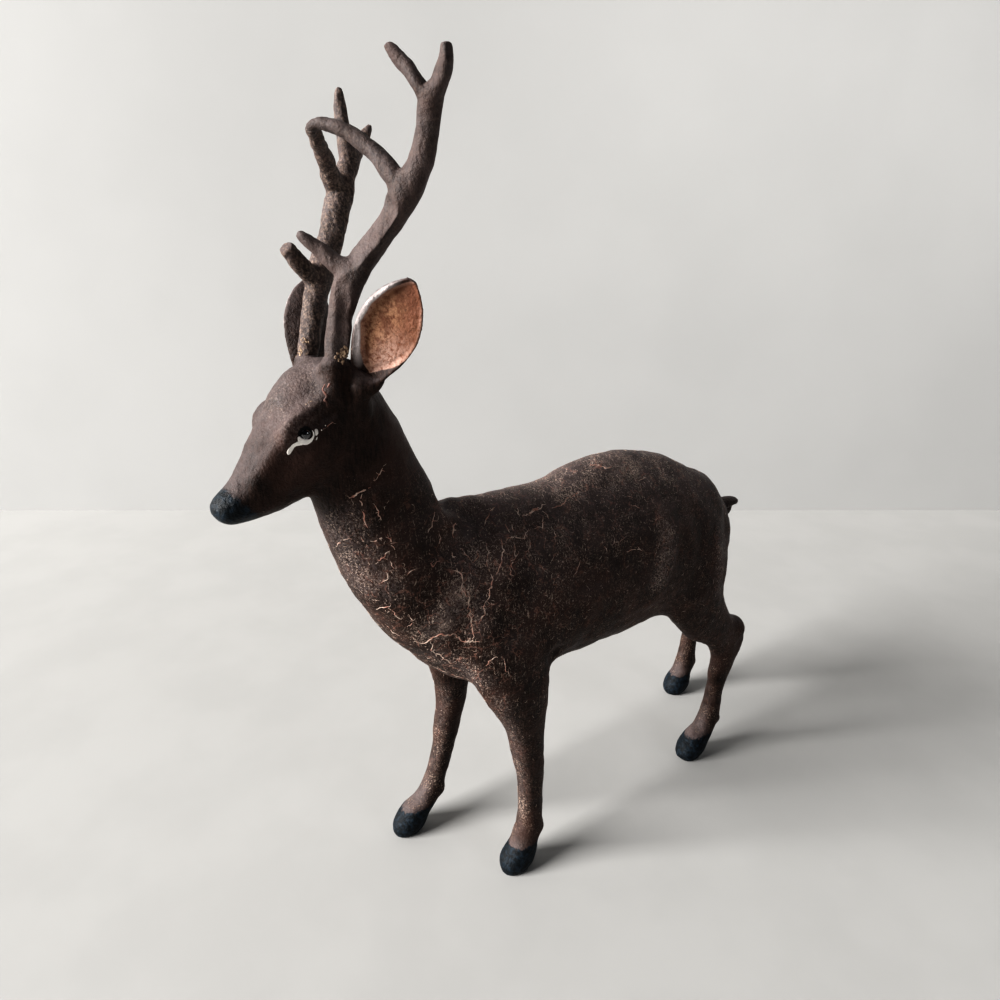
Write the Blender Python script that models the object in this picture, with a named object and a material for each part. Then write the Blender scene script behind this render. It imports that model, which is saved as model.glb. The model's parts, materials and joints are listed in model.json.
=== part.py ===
"""A papier-mache reindeer, walking slowly, with its antlers, ears and tail set into the body.

It faces -Y, its left side is +X, and it stands on z = 0. The driving dimensions are metres. The station
tables hold the carving in units of a 296th of the figure's height, so the form follows FIGURE_HEIGHT.
"""

import math

import bmesh
import bpy
import numpy as np
from mathutils import Matrix, Vector

# Driving dimensions in metres
FIGURE_HEIGHT = 0.296
CLEARANCE = 0.0003
ANTLER_PEG_DEPTH = 0.0045
ANTLER_PEG_RADIUS = 0.0030
EAR_FOOT_RADIUS = 0.0045
EAR_PEG_RADIUS = 0.0030
EAR_WALL = 0.0013
EYE_DIAMETER = 0.0048
EYE_PROUD = 0.0013

# One unit of the station tables
UNIT = FIGURE_HEIGHT / 296.0

# Surface resolution
VOXEL = 1.1 * UNIT
BODY_TRIANGLES = 5000
ANTLER_TRIANGLES = 800
TAIL_TRIANGLES = 280
LEAF_COLUMNS = 9

# Finishes: linear colour and roughness
PAINT = ((0.060, 0.043, 0.037), 0.62)
ANTLER_PAINT = ((0.045, 0.033, 0.030), 0.55)
EAR_PAINT = ((0.190, 0.095, 0.060), 0.70)
EYE_GLOSS = ((0.006, 0.006, 0.007), 0.08)

# Trunk and neck, from the rump forward: x, y, z, half depth, half width, narrowing towards the back
TRUNK = (
    (0, 81.5, 110.0, 6.0, 6.0, 0.0),
    (0, 79.0, 110.5, 15.0, 12.5, 0.0),
    (0, 72.5, 112.0, 23.5, 18.2, 0.02),
    (0, 63.0, 114.0, 30.0, 22.5, 0.06),
    (0, 51.0, 117.3, 34.8, 25.8, 0.08),
    (0, 35.0, 121.0, 38.8, 27.5, 0.10),
    (0, 5.0, 122.7, 40.8, 28.5, 0.12),
    (0, -25.0, 121.5, 38.5, 28.0, 0.14),
    (0, -50.0, 122.0, 38.3, 26.5, 0.18),
    (0, -68.0, 124.2, 36.6, 24.0, 0.22),
    (0, -80.0, 126.2, 29.8, 20.5, 0.15),
    (0, -89.5, 128.5, 21.0, 15.0, 0.05),
    (0, -95.5, 130.0, 9.0, 7.0, 0.0),
)
NECK = (
    (0, -50.0, 118.0, 12.0, 12.0, 0.0),
    (0, -64.0, 119.0, 26.5, 21.5, 0.05),
    (0, -78.5, 130.5, 27.8, 20.5, 0.12),
    (0, -92.0, 145.8, 24.2, 17.9, 0.18),
    (0, -100.6, 160.5, 21.3, 15.2, 0.15),
    (0, -106.5, 175.4, 19.1, 13.2, 0.10),
    (0, -111.2, 190.2, 17.4, 12.6, 0.05),
    (0, -115.0, 203.0, 13.5, 12.0, 0.0),
)

# Head: its axis starts at this place and points forward and down
HEAD_ORIGIN = (0.0, -118.0, 198.0)
HEAD_PITCH = 36.0
# From the poll to the nose: distance along the axis, height above it, half depth, half width, narrowing
HEAD = (
    (-15.0, 1.0, 9.0, 8.0, 0.0),
    (-11.0, 1.0, 14.0, 12.0, 0.0),
    (-3.0, 1.4, 17.6, 14.0, 0.0),
    (6.0, 0.8, 16.2, 14.2, -0.05),
    (14.0, 0.4, 14.3, 12.8, -0.08),
    (22.0, -0.5, 12.5, 10.3, -0.05),
    (29.0, -0.3, 9.8, 8.4, 0.0),
    (34.5, 0.5, 7.5, 7.1, 0.0),
    (39.0, 1.5, 6.0, 6.6, 0.0),
    (42.3, 2.3, 4.8, 5.7, 0.0),
    (44.6, 2.7, 2.8, 3.4, 0.0),
)
CREST_PLACE = (0.0, -119.5, 208.5)
CREST_RADII = (15.0, 7.0, 9.0)
BROW_PLACE = (10.0, 10.5, 8.6)
BROW_RADIUS = 5.2
# Eye: side, distance along the head's axis, height above it
EYE_PLACE = (13.2, 11.2, 7.8)
EYE_OUTWARD = (0.93, -0.32, 0.12)

# Legs from the body down: x, y, z, half depth, half width, narrowing towards the front
LEFT_FORE = (
    (13, -64, 132, 16.0, 9.0, 0),
    (18, -64, 112, 17.5, 9.5, 0),
    (21, -60.3, 95, 16.3, 8.5, 0),
    (22, -57.2, 81, 12.4, 7.5, 0),
    (22, -55.2, 68, 8.8, 6.6, 0),
    (22, -54.0, 56, 7.2, 6.2, 0),
    (22, -52.6, 43, 6.0, 5.4, 0),
    (22, -52.2, 29, 5.4, 5.1, 0),
    (22, -52.6, 20, 5.8, 5.4, 0),
    (22, -55.0, 12, 6.0, 5.8, 0),
    (22, -57.0, 6, 7.0, 6.4, 0),
)
RIGHT_FORE = (
    (-13, -66, 132, 16.0, 9.0, 0),
    (-18, -66, 112, 17.0, 9.5, 0),
    (-21, -64, 92, 13.0, 8.5, 0),
    (-22, -61.5, 76, 9.5, 7.2, 0),
    (-22, -62.0, 60, 7.2, 6.2, 0),
    (-22, -64.5, 48, 6.2, 5.6, 0),
    (-22, -67.3, 36, 5.2, 4.9, 0),
    (-22, -70.6, 25, 4.9, 4.6, 0),
    (-22, -74.5, 16, 5.4, 5.2, 0),
    (-22, -80.5, 10, 5.8, 5.8, 0),
    (-22, -84.5, 5, 6.6, 6.4, 0),
)
LEFT_HIND = (
    (12, 45, 125, 28.0, 12.0, 0),
    (17, 46, 107, 24.0, 12.0, 0),
    (20, 49, 91, 17.0, 9.5, 0),
    (21, 56, 80, 13.5, 8.0, 0),
    (21.5, 66.5, 70, 10.0, 6.8, 0),
    (21.5, 75.8, 61.5, 11.3, 6.0, 0),
    (21.5, 74.6, 52, 8.0, 5.2, 0),
    (21.3, 72.4, 43, 6.0, 4.7, 0),
    (21, 70.5, 32, 5.2, 4.3, 0),
    (21, 68.2, 20, 5.7, 4.9, 0),
    (21, 64.0, 12, 6.0, 5.6, 0),
    (21, 57.5, 6, 6.6, 6.2, 0),
)
RIGHT_HIND = (
    (-12, 47, 125, 28.0, 12.0, 0),
    (-17, 52, 107, 23.0, 12.0, 0),
    (-20, 60, 91, 16.5, 9.5, 0),
    (-21, 71, 80, 12.5, 8.0, 0),
    (-21.5, 86, 72, 9.5, 6.8, 0),
    (-21.5, 99, 65, 10.0, 6.0, 0),
    (-21.5, 104, 55, 8.4, 5.2, 0),
    (-21.3, 103.8, 44, 6.2, 4.7, 0),
    (-21, 102.5, 32, 5.2, 4.3, 0),
    (-21, 101.2, 20, 5.9, 4.9, 0),
    (-21, 98.5, 12, 6.0, 5.6, 0),
    (-21, 95.5, 6, 6.6, 6.2, 0),
)

# Hooves: the middle of each sole, and how far the coronet above it lies behind
HOOVES = (
    (22.3, -60.9, 4.5),
    (-22.5, -87.0, 4.5),
    (20.8, 53.8, 5.0),
    (-20.8, 92.5, 4.0),
)
# Up from below the ground: height, half length, half width
HOOF_RINGS = (
    (-3.0, 3.8, 3.0),
    (0.0, 6.2, 5.4),
    (3.0, 7.8, 6.9),
    (6.0, 8.0, 7.0),
    (9.0, 7.1, 6.4),
    (11.5, 6.0, 5.6),
    (13.5, 4.5, 4.2),
)
DEWCLAW_HEIGHT = 16.0
DEWCLAW_BACK = 5.0
DEWCLAW_RADIUS = 2.1
DEWCLAW_SPREAD = 2.4

# Antlers: each branch is x, y, z and radius from its root to its tip
LEFT_ANTLER = {
    "beam": (
        (11.0, -119.0, 219.0, 3.1),
        (11.6, -118.1, 225.1, 3.4),
        (12.5, -116.9, 231.0, 3.7),
        (14.2, -115.6, 237.0, 4.0),
        (16.6, -112.8, 243.5, 4.2),
        (19.4, -108.3, 250.0, 3.8),
        (22.2, -104.3, 256.2, 3.9),
        (25.0, -101.3, 262.3, 4.3),
        (28.0, -98.9, 268.4, 3.3),
        (30.0, -97.9, 274.5, 2.7),
        (32.0, -98.1, 279.6, 2.7),
        (34.2, -98.3, 284.0, 2.8),
        (36.2, -97.3, 287.4, 2.1),
        (38.0, -96.9, 291.5, 1.7),
        (39.0, -96.8, 295.0, 1.0),
    ),
    "brow_tine": (
        (15.5, -113.6, 240.6, 3.4),
        (12.5, -117.9, 244.3, 2.6),
        (10.5, -121.6, 248.0, 2.2),
        (9.0, -124.5, 250.5, 1.6),
        (8.0, -125.9, 251.8, 1.0),
    ),
    "front_tine": (
        (24.8, -101.3, 262.0, 3.6),
        (21.5, -103.7, 266.6, 2.7),
        (17.5, -105.5, 271.4, 2.4),
        (12.0, -109.0, 275.9, 2.1),
        (7.5, -112.4, 278.6, 2.0),
        (3.5, -115.2, 279.5, 1.8),
        (1.6, -117.2, 278.3, 1.2),
    ),
    "top_front": (
        (33.8, -98.6, 283.6, 2.4),
        (31.0, -100.8, 287.9, 2.0),
        (28.5, -103.3, 291.4, 1.6),
        (27.0, -105.0, 294.3, 1.3),
        (26.2, -106.0, 295.5, 0.9),
    ),
}
RIGHT_ANTLER = {
    "beam": (
        (-11.0, -118.2, 217.0, 3.3),
        (-11.5, -116.6, 222.8, 3.6),
        (-12.5, -114.6, 229.0, 3.7),
        (-14.0, -112.1, 235.4, 4.0),
        (-16.0, -108.9, 242.4, 4.2),
        (-18.0, -104.8, 249.7, 4.0),
        (-20.0, -101.5, 256.5, 4.2),
        (-22.2, -98.8, 262.2, 4.3),
        (-24.3, -95.7, 268.0, 3.9),
        (-26.0, -92.4, 273.3, 3.2),
        (-29.0, -87.4, 278.5, 2.2),
        (-31.0, -83.5, 282.8, 1.8),
        (-32.0, -81.0, 285.6, 1.0),
    ),
    "brow_tine": (
        (-14.8, -110.8, 237.4, 3.4),
        (-12.5, -116.6, 242.0, 2.9),
        (-11.0, -120.0, 245.5, 2.6),
        (-10.0, -122.6, 248.2, 2.4),
    ),
    "front_tine": (
        (-23.4, -98.6, 263.9, 3.5),
        (-19.0, -102.8, 269.7, 2.9),
        (-13.0, -107.5, 274.5, 2.5),
        (-6.5, -112.1, 277.7, 2.2),
        (-2.6, -115.2, 279.1, 1.5),
    ),
    "top_front": (
        (-25.9, -92.6, 272.9, 3.0),
        (-26.5, -93.1, 279.1, 2.8),
        (-27.0, -93.5, 284.5, 2.5),
        (-27.0, -93.9, 289.5, 2.1),
        (-26.6, -94.0, 293.3, 1.5),
        (-26.5, -93.7, 295.0, 0.9),
    ),
}

# Ears: root, tip, the way the hollow faces, the end of the foot inside the head
LEFT_EAR = ((14.2, -113.6, 209.5), (33.0, -105.8, 239.8), (0.84, -0.54, 0.08), (10.2, -113.4, 202.5))
RIGHT_EAR = ((-17.5, -117.5, 206.0), (-31.0, -107.0, 238.0), (-1.0, -0.10, 0.05), (-9.5, -116.5, 200.0))
# Share of the ear's length, half width, depth of its cup
EAR_RINGS = (
    (0.00, 3.6, 1.6),
    (0.12, 4.6, 2.6),
    (0.25, 6.4, 3.4),
    (0.40, 8.1, 3.8),
    (0.55, 8.6, 3.7),
    (0.70, 7.8, 3.2),
    (0.83, 5.9, 2.4),
    (0.93, 3.4, 1.4),
    (1.00, 0.8, 0.5),
)

# Tail: an upper leaf over a shorter lower one, as x, y, z, half depth, half width, narrowing
TAIL_LOBES = (
    (
        (0, 78.0, 123.6, 2.2, 3.4, 0.0),
        (0, 86.0, 124.4, 2.5, 4.2, 0.0),
        (0, 93.0, 124.6, 2.5, 4.2, 0.0),
        (0, 98.0, 124.2, 2.1, 3.4, 0.0),
        (0, 100.6, 123.8, 1.1, 1.8, 0.0),
    ),
    (
        (0, 78.0, 117.0, 3.0, 2.8, 0.0),
        (0, 86.0, 118.2, 3.0, 3.4, 0.0),
        (0, 92.0, 119.9, 2.4, 3.0, 0.0),
        (0, 96.5, 121.4, 1.2, 1.6, 0.0),
    ),
)


def clear_scene():
    for obj in list(bpy.data.objects):
        bpy.data.objects.remove(obj)


def give_material(obj, finish):
    """Gives the object its own finish and rounds its shading."""
    color, roughness = finish
    material = bpy.data.materials.new(obj.name + "_paint")
    material.use_nodes = True
    shader = material.node_tree.nodes["Principled BSDF"]
    shader.inputs["Base Color"].default_value = (*color, 1.0)
    shader.inputs["Roughness"].default_value = roughness
    shader.inputs["Metallic"].default_value = 0.0
    obj.data.materials.clear()
    obj.data.materials.append(material)
    for face in obj.data.polygons:
        face.use_smooth = True
        face.material_index = 0


def smooth_through(stations, spacing=1.0, steps=None):
    """Rows on a Catmull-Rom curve through the stations, about this far apart or in equal steps."""
    rows = np.array(stations, float)
    padded = np.vstack((2 * rows[0] - rows[1], rows, 2 * rows[-1] - rows[-2]))
    made = []
    for before, start, end, after in zip(padded, padded[1:], padded[2:], padded[3:]):
        count = steps or max(2, round(float(np.linalg.norm((end - start)[:3])) / spacing))
        for t in np.arange(count) / count:
            made.append(
                0.5
                * (
                    2 * start
                    + (end - before) * t
                    + (2 * before - 5 * start + 4 * end - after) * t**2
                    + (3 * start - before - 3 * end + after) * t**3
                )
            )
    made.append(rows[-1])
    return np.array(made)


def add_tube(bm, stations, sides=28, spacing=2.0, level=False):
    """Lofts closed rings through x, y, z, half depth, half width, narrowing. Level rings stay horizontal."""
    rows = smooth_through(stations, spacing)
    tangents = np.gradient(rows[:, :3], axis=0)
    across = Vector((1, 0, 0))
    rings = []
    for row, tangent in zip(rows, tangents):
        along = Vector((0, 0, -1)) if level else Vector(tangent).normalized()
        depth_way = along.cross(across).normalized()
        width_way = depth_way.cross(along).normalized()
        ring = []
        for i in range(sides):
            angle = 2 * math.pi * i / sides
            up = math.sin(angle)
            place = Vector(row[:3]) + depth_way * (row[3] * up)
            place += width_way * (row[4] * math.cos(angle) * (1 - row[5] * up))
            ring.append(bm.verts.new(place * UNIT))
        rings.append(ring)
    for lower, upper in zip(rings, rings[1:]):
        for i in range(sides):
            j = (i + 1) % sides
            bm.faces.new((lower[i], lower[j], upper[j], upper[i]))
    bm.faces.new(list(reversed(rings[0])))
    bm.faces.new(rings[-1])


def add_ball(bm, center, radii, turn=0.0):
    matrix = Matrix.Translation(Vector(center) * UNIT) @ Matrix.Rotation(turn, 4, "X")
    matrix = matrix @ Matrix.Diagonal((*(Vector(radii) * UNIT), 1.0))
    bmesh.ops.create_uvsphere(bm, u_segments=20, v_segments=12, radius=1.0, matrix=matrix)


def head_place(side, along, above):
    """A place given by its side, its distance along the head's axis and its height above that axis."""
    pitch = math.radians(HEAD_PITCH)
    origin = Vector(HEAD_ORIGIN)
    axis = Vector((0, -math.cos(pitch), -math.sin(pitch)))
    rise = Vector((0, -math.sin(pitch), math.cos(pitch)))
    return origin + Vector((side, 0, 0)) + axis * along + rise * above


def new_object(name, bm):
    bmesh.ops.recalc_face_normals(bm, faces=bm.faces)
    mesh = bpy.data.meshes.new(name)
    bm.to_mesh(mesh)
    bm.free()
    obj = bpy.data.objects.new(name, mesh)
    bpy.context.scene.collection.objects.link(obj)
    return obj


def bake(obj):
    """Replaces the object's mesh by what its modifiers make of it."""
    bpy.context.view_layer.update()
    graph = bpy.context.evaluated_depsgraph_get()
    mesh = bpy.data.meshes.new_from_object(obj.evaluated_get(graph))
    obj.modifiers.clear()
    obj.data = mesh


def fuse(obj, voxel):
    """Makes one skin of shapes that pass through each other."""
    remesh = obj.modifiers.new("One skin", "REMESH")
    remesh.mode = "VOXEL"
    remesh.voxel_size = voxel
    bake(obj)


def fill_creases(obj, passes, rounding, amount=None):
    """Fills hollow creases as putty would, then rounds the whole skin a little."""
    mesh = obj.data
    count = len(mesh.vertices)
    places = np.empty(count * 3)
    mesh.vertices.foreach_get("co", places)
    places = places.reshape(-1, 3)
    edges = np.empty(len(mesh.edges) * 2, int)
    mesh.edges.foreach_get("vertices", edges)
    edges = edges.reshape(-1, 2)
    ends = np.concatenate((edges, edges[:, ::-1]))
    valence = np.bincount(ends[:, 0], minlength=count)[:, None]

    share = 1.0 if amount is None else amount(places / UNIT)[:, None]

    def pull(at):
        total = np.stack([np.bincount(ends[:, 0], at[ends[:, 1], k], count) for k in range(3)], 1)
        return total / valence - at

    for i in range(passes):
        if i % 5 == 0:
            mesh.vertices.foreach_set("co", places.ravel())
            mesh.update()
            normals = np.empty(count * 3)
            mesh.vertices.foreach_get("normal", normals)
            normals = normals.reshape(-1, 3)
        step = pull(places)
        outward = (step * normals).sum(1, keepdims=True)
        places = places + np.where(outward > 0, 0.5 * share, 0.04) * step
    for _ in range(rounding):
        places = places + 0.5 * pull(places)
        places = places - 0.52 * pull(places)
    mesh.vertices.foreach_set("co", places.ravel())
    mesh.update()


def thin_out(obj, triangles):
    """Keeps about this many triangles, most of them where the skin bends."""
    mesh = obj.data
    mesh.calc_loop_triangles()
    decimate = obj.modifiers.new("Fewer faces", "DECIMATE")
    decimate.ratio = min(1.0, triangles / len(mesh.loop_triangles))
    decimate.use_collapse_triangulate = True
    bake(obj)


def unite(obj, other):
    other.hide_render = True
    other.display_type = "WIRE"
    boolean = obj.modifiers.new("Add " + other.name, "BOOLEAN")
    boolean.operation = "UNION"
    boolean.object = other


def cut(obj, cutter):
    cutter.hide_render = True
    cutter.display_type = "WIRE"
    boolean = obj.modifiers.new("Cut " + cutter.name, "BOOLEAN")
    boolean.operation = "DIFFERENCE"
    boolean.object = cutter


def add_leaf(bm, root, tip, facing, rings, wall):
    """A cupped leaf from its root to its tip, its hollow towards this way, as one closed shell."""
    root, tip, facing = Vector(root), Vector(tip), Vector(facing).normalized()
    along = (tip - root).normalized()
    across = along.cross(facing).normalized()
    facing = across.cross(along).normalized()
    columns = LEAF_COLUMNS
    front, back = [], []
    for share, width, cup in smooth_through(rings, steps=2):
        middle = root.lerp(tip, share)
        front_row, back_row = [], []
        for i in range(columns):
            v = 2 * i / (columns - 1) - 1
            place = middle + across * (width * v) - facing * (cup * (1 - v * v))
            outward = (across * (0.5 * v) - facing).normalized()
            front_row.append(bm.verts.new(place * UNIT))
            back_row.append(bm.verts.new((place + outward * wall) * UNIT))
        front.append(front_row)
        back.append(back_row)
    for i in range(len(front) - 1):
        for j in range(columns - 1):
            bm.faces.new((front[i][j], front[i][j + 1], front[i + 1][j + 1], front[i + 1][j]))
            bm.faces.new((back[i][j], back[i + 1][j], back[i + 1][j + 1], back[i][j + 1]))
        for j in (0, columns - 1):
            bm.faces.new((front[i][j], front[i + 1][j], back[i + 1][j], back[i][j]))
    for i in (0, len(front) - 1):
        for j in range(columns - 1):
            bm.faces.new((front[i][j], front[i][j + 1], back[i][j + 1], back[i][j]))


def crease_share(places):
    """Creases fill fully on the trunk and little on the head and the lower legs."""
    on_trunk = np.clip((places[:, 2] - 74.0) / 16.0, 0.0, 1.0)
    off_head = np.clip((places[:, 1] + 118.0) / 10.0 + (176.0 - places[:, 2]) / 10.0, 0.0, 1.0)
    return 0.12 + 0.88 * on_trunk * off_head


def body():
    bm = bmesh.new()
    add_tube(bm, TRUNK, sides=40)
    add_tube(bm, NECK, sides=36)
    head_rows = [(*head_place(0, row[0], row[1]), *row[2:]) for row in HEAD]
    add_tube(bm, head_rows, sides=36)
    for side in (1, -1):
        place = head_place(side * BROW_PLACE[0], BROW_PLACE[1], BROW_PLACE[2])
        add_ball(bm, place, (BROW_RADIUS * 0.8, BROW_RADIUS * 1.3, BROW_RADIUS), math.radians(HEAD_PITCH))
    add_ball(bm, CREST_PLACE, CREST_RADII)
    for leg, hoof in zip((LEFT_FORE, RIGHT_FORE, LEFT_HIND, RIGHT_HIND), HOOVES):
        add_tube(bm, leg, sides=24)
        x, y, lean = hoof
        rings = [
            (x, y + lean * max(0.0, z) / 12.0, z, length, width, 0.0) for z, length, width in HOOF_RINGS
        ]
        add_tube(bm, rings, sides=24, level=True)
        pastern = min(leg, key=lambda row: abs(row[2] - DEWCLAW_HEIGHT))
        for side in (1, -1):
            claw = (pastern[0] + side * DEWCLAW_SPREAD, pastern[1] + DEWCLAW_BACK, DEWCLAW_HEIGHT)
            add_ball(bm, claw, (DEWCLAW_RADIUS, DEWCLAW_RADIUS, DEWCLAW_RADIUS * 1.4))
    obj = new_object("body", bm)
    fuse(obj, VOXEL)
    fill_creases(obj, passes=150, rounding=12, amount=crease_share)
    thin_out(obj, BODY_TRIANGLES)
    return obj


def foot_rows(start, end, radius, end_radius, rise):
    """A round foot from this far above its start down to its end inside the body."""
    start, end = Vector(start), Vector(end)
    way = (end - start).normalized()
    middle_radius = (radius + end_radius) / 2
    rows = (
        (start - way * rise, radius * 0.6),
        (start - way * rise / 2, radius * 0.9),
        (start, radius),
        (start.lerp(end, 0.5), middle_radius),
        (end, end_radius),
    )
    return [(*place, size, size, 0.0) for place, size in rows]


def socket(name, shell, rows):
    """Cuts a pocket that follows these rows, a clearance wider and deeper."""
    gap = CLEARANCE / UNIT
    wider = [(*row[:3], row[3] + gap, row[4] + gap, row[5]) for row in rows]
    end = Vector(wider[-1][:3])
    end += (end - Vector(wider[-2][:3])).normalized() * gap
    wider[-1] = (*end, *wider[-1][3:])
    bm = bmesh.new()
    add_tube(bm, wider, sides=20, spacing=1.5)
    cut(shell, new_object(name, bm))


def antler(name, branches, shell):
    bm = bmesh.new()
    for branch in branches.values():
        rows = [(*row[:3], row[3], row[3], 0.0) for row in branch]
        add_tube(bm, rows, sides=14, spacing=1.2)
    beam = branches["beam"]
    root = Vector(beam[0][:3])
    end = root + (root - Vector(beam[1][:3])).normalized() * (ANTLER_PEG_DEPTH / UNIT)
    radius = ANTLER_PEG_RADIUS / UNIT
    foot = foot_rows(root, end, radius, radius, rise=1.5)
    add_tube(bm, foot, sides=20, spacing=1.0)
    obj = new_object(name, bm)
    fuse(obj, VOXEL * 0.55)
    fill_creases(obj, passes=8, rounding=3)
    thin_out(obj, ANTLER_TRIANGLES)
    above = [(*row[:3], row[3], row[3], 0.0) for row in reversed(beam[:3])]
    socket("Socket of " + name, shell, above + foot[3:])
    return obj


def ear(name, shape, shell):
    root, tip, facing, end = (Vector(place) for place in shape)
    wall = EAR_WALL / UNIT
    bm = bmesh.new()
    add_leaf(bm, root, tip, facing, EAR_RINGS, wall)
    obj = new_object(name, bm)
    start = root - facing.normalized() * ((EAR_RINGS[0][2] + wall) / 2)
    foot = foot_rows(start, end, EAR_FOOT_RADIUS / UNIT, EAR_PEG_RADIUS / UNIT, rise=3.0)
    bm = bmesh.new()
    add_tube(bm, foot, sides=16, spacing=3.0)
    unite(obj, new_object("Foot of " + name, bm))
    socket("Socket of " + name, shell, foot)
    return obj


def tail(shell):
    """The lobes' roots sit in a seat of their own shape, a clearance wider and deeper."""
    made = []
    for label, wider in (("tail", 0.0), ("Seat of tail", CLEARANCE / UNIT)):
        bm = bmesh.new()
        for lobe in TAIL_LOBES:
            rows = [(*row[:3], row[3] + wider, row[4] + wider, row[5]) for row in lobe]
            x, y, z = rows[0][:3]
            rows[0] = (x, y - wider, z, *rows[0][3:])
            add_tube(bm, rows, sides=20, spacing=1.2)
        obj = new_object(label, bm)
        fuse(obj, VOXEL * 0.5)
        made.append(obj)
    for obj in made:
        fill_creases(obj, passes=2, rounding=2)
        thin_out(obj, TAIL_TRIANGLES)
    cut(shell, made[1])
    return made[0]


def eye(name, side, shell):
    """A glossy ball that stands a little proud of its socket."""
    radius = EYE_DIAMETER / 2
    outward = Vector((EYE_OUTWARD[0] * side, EYE_OUTWARD[1], EYE_OUTWARD[2])).normalized()
    surface = head_place(EYE_PLACE[0] * side, EYE_PLACE[1], EYE_PLACE[2]) * UNIT
    center = surface - outward * (radius - EYE_PROUD)
    made = []
    for label, size in ((name, radius), ("Socket of " + name, radius + CLEARANCE)):
        bm = bmesh.new()
        bmesh.ops.create_icosphere(bm, subdivisions=2, radius=size, matrix=Matrix.Translation(center))
        made.append(new_object(label, bm))
    cut(shell, made[1])
    return made[0]


def stand_on_floor(shell):
    """Cuts the hooves off flat at the floor."""
    bm = bmesh.new()
    size = FIGURE_HEIGHT * 2
    bmesh.ops.create_cube(bm, size=size, matrix=Matrix.Translation((0, 0, -size / 2)))
    cut(shell, new_object("Floor", bm))


def centre_on_origin():
    """Moves everything so that the origin is the middle of the underside of the whole figure's box."""
    bpy.context.view_layer.update()
    graph = bpy.context.evaluated_depsgraph_get()
    corners = []
    for obj in bpy.data.objects:
        if not obj.hide_render:
            corners += [Vector(v.co) for v in obj.evaluated_get(graph).data.vertices]
    low = [min(c[i] for c in corners) for i in range(2)]
    high = [max(c[i] for c in corners) for i in range(2)]
    shift = Matrix.Translation((-(low[0] + high[0]) / 2, -(low[1] + high[1]) / 2, 0))
    for obj in bpy.data.objects:
        obj.data.transform(shift)


def main():
    clear_scene()
    shell = body()
    give_material(shell, PAINT)
    for name, branches in (("antler_left", LEFT_ANTLER), ("antler_right", RIGHT_ANTLER)):
        give_material(antler(name, branches, shell), ANTLER_PAINT)
    for name, shape in (("ear_left", LEFT_EAR), ("ear_right", RIGHT_EAR)):
        give_material(ear(name, shape, shell), EAR_PAINT)
    give_material(tail(shell), PAINT)
    for name, side in (("eye_left", 1), ("eye_right", -1)):
        give_material(eye(name, side, shell), EYE_GLOSS)
    stand_on_floor(shell)
    centre_on_origin()


main()
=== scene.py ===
import json
import math

import bmesh
import bpy
import numpy as np
from mathutils import Matrix, Vector
from mathutils.bvhtree import BVHTree


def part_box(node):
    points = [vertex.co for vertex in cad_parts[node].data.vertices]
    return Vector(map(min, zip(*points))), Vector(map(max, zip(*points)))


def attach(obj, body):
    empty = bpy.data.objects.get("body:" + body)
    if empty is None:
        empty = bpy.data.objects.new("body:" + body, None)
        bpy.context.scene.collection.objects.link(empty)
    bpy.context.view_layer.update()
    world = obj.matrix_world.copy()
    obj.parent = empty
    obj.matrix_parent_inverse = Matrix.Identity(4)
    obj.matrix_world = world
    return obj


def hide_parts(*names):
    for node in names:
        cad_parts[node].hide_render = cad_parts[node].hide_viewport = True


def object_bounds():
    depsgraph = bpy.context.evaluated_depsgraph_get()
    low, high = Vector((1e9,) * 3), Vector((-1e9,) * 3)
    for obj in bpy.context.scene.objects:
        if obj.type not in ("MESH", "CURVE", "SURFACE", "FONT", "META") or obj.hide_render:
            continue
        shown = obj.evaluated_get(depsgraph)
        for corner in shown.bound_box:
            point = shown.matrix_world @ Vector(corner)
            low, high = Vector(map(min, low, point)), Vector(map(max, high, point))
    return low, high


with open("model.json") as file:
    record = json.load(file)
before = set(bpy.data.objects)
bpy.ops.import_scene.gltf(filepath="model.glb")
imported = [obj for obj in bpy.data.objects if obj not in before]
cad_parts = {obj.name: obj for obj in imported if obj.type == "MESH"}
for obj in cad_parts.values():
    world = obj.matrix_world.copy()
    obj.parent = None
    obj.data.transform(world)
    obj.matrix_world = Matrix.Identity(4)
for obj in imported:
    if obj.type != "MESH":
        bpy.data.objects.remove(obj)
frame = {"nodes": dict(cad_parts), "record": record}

bl_info = {
    "name": "Papier-mache reindeer",
    "version": (1, 0, 0),
    "blender": (4, 5, 0),
    "location": "3D View > Sidebar > Reindeer",
    "description": "Dresses the packed reindeer with its cracked paint, ears, eyes and antlers",
    "category": "Object",
}

CAD_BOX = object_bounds()
BODY = "root"
MM = 0.001

# The photograph: its frame in pixels and its focal length in the same pixels
PHOTO_MIDDLE = 500.0
PHOTO_FOCAL = 720.0
# The camera in the figure's carving frame (millimetres) and the way it looks (degrees)
CAMERA_PLACE = (206.3, -207.1, 250.0)
CAMERA_TURN = 53.0
CAMERA_PITCH = 19.85
# Where the middle of the four soles lies in the carving frame
SOLES_MIDDLE = (-0.05, -0.4)


def soles_middle():
    places = [mount["pos_m"] for mount in frame["record"]["mounts"] if mount["name"].startswith("sole_")]
    return np.mean(places, axis=0)


CARVING_ORIGIN = Vector(soles_middle()) - Vector((*SOLES_MIDDLE, 0.0)) * MM


def place(x, y, z):
    """A place in the carving frame, in metres."""
    return CARVING_ORIGIN + Vector((x, y, z)) * MM


def to_carving(spot):
    """A place in metres, in the carving frame."""
    return (spot - CARVING_ORIGIN) / MM


def mirrored(spot):
    """The same place on the figure's other side."""
    return Vector((2 * CARVING_ORIGIN.x - spot.x, spot.y, spot.z))


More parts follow.
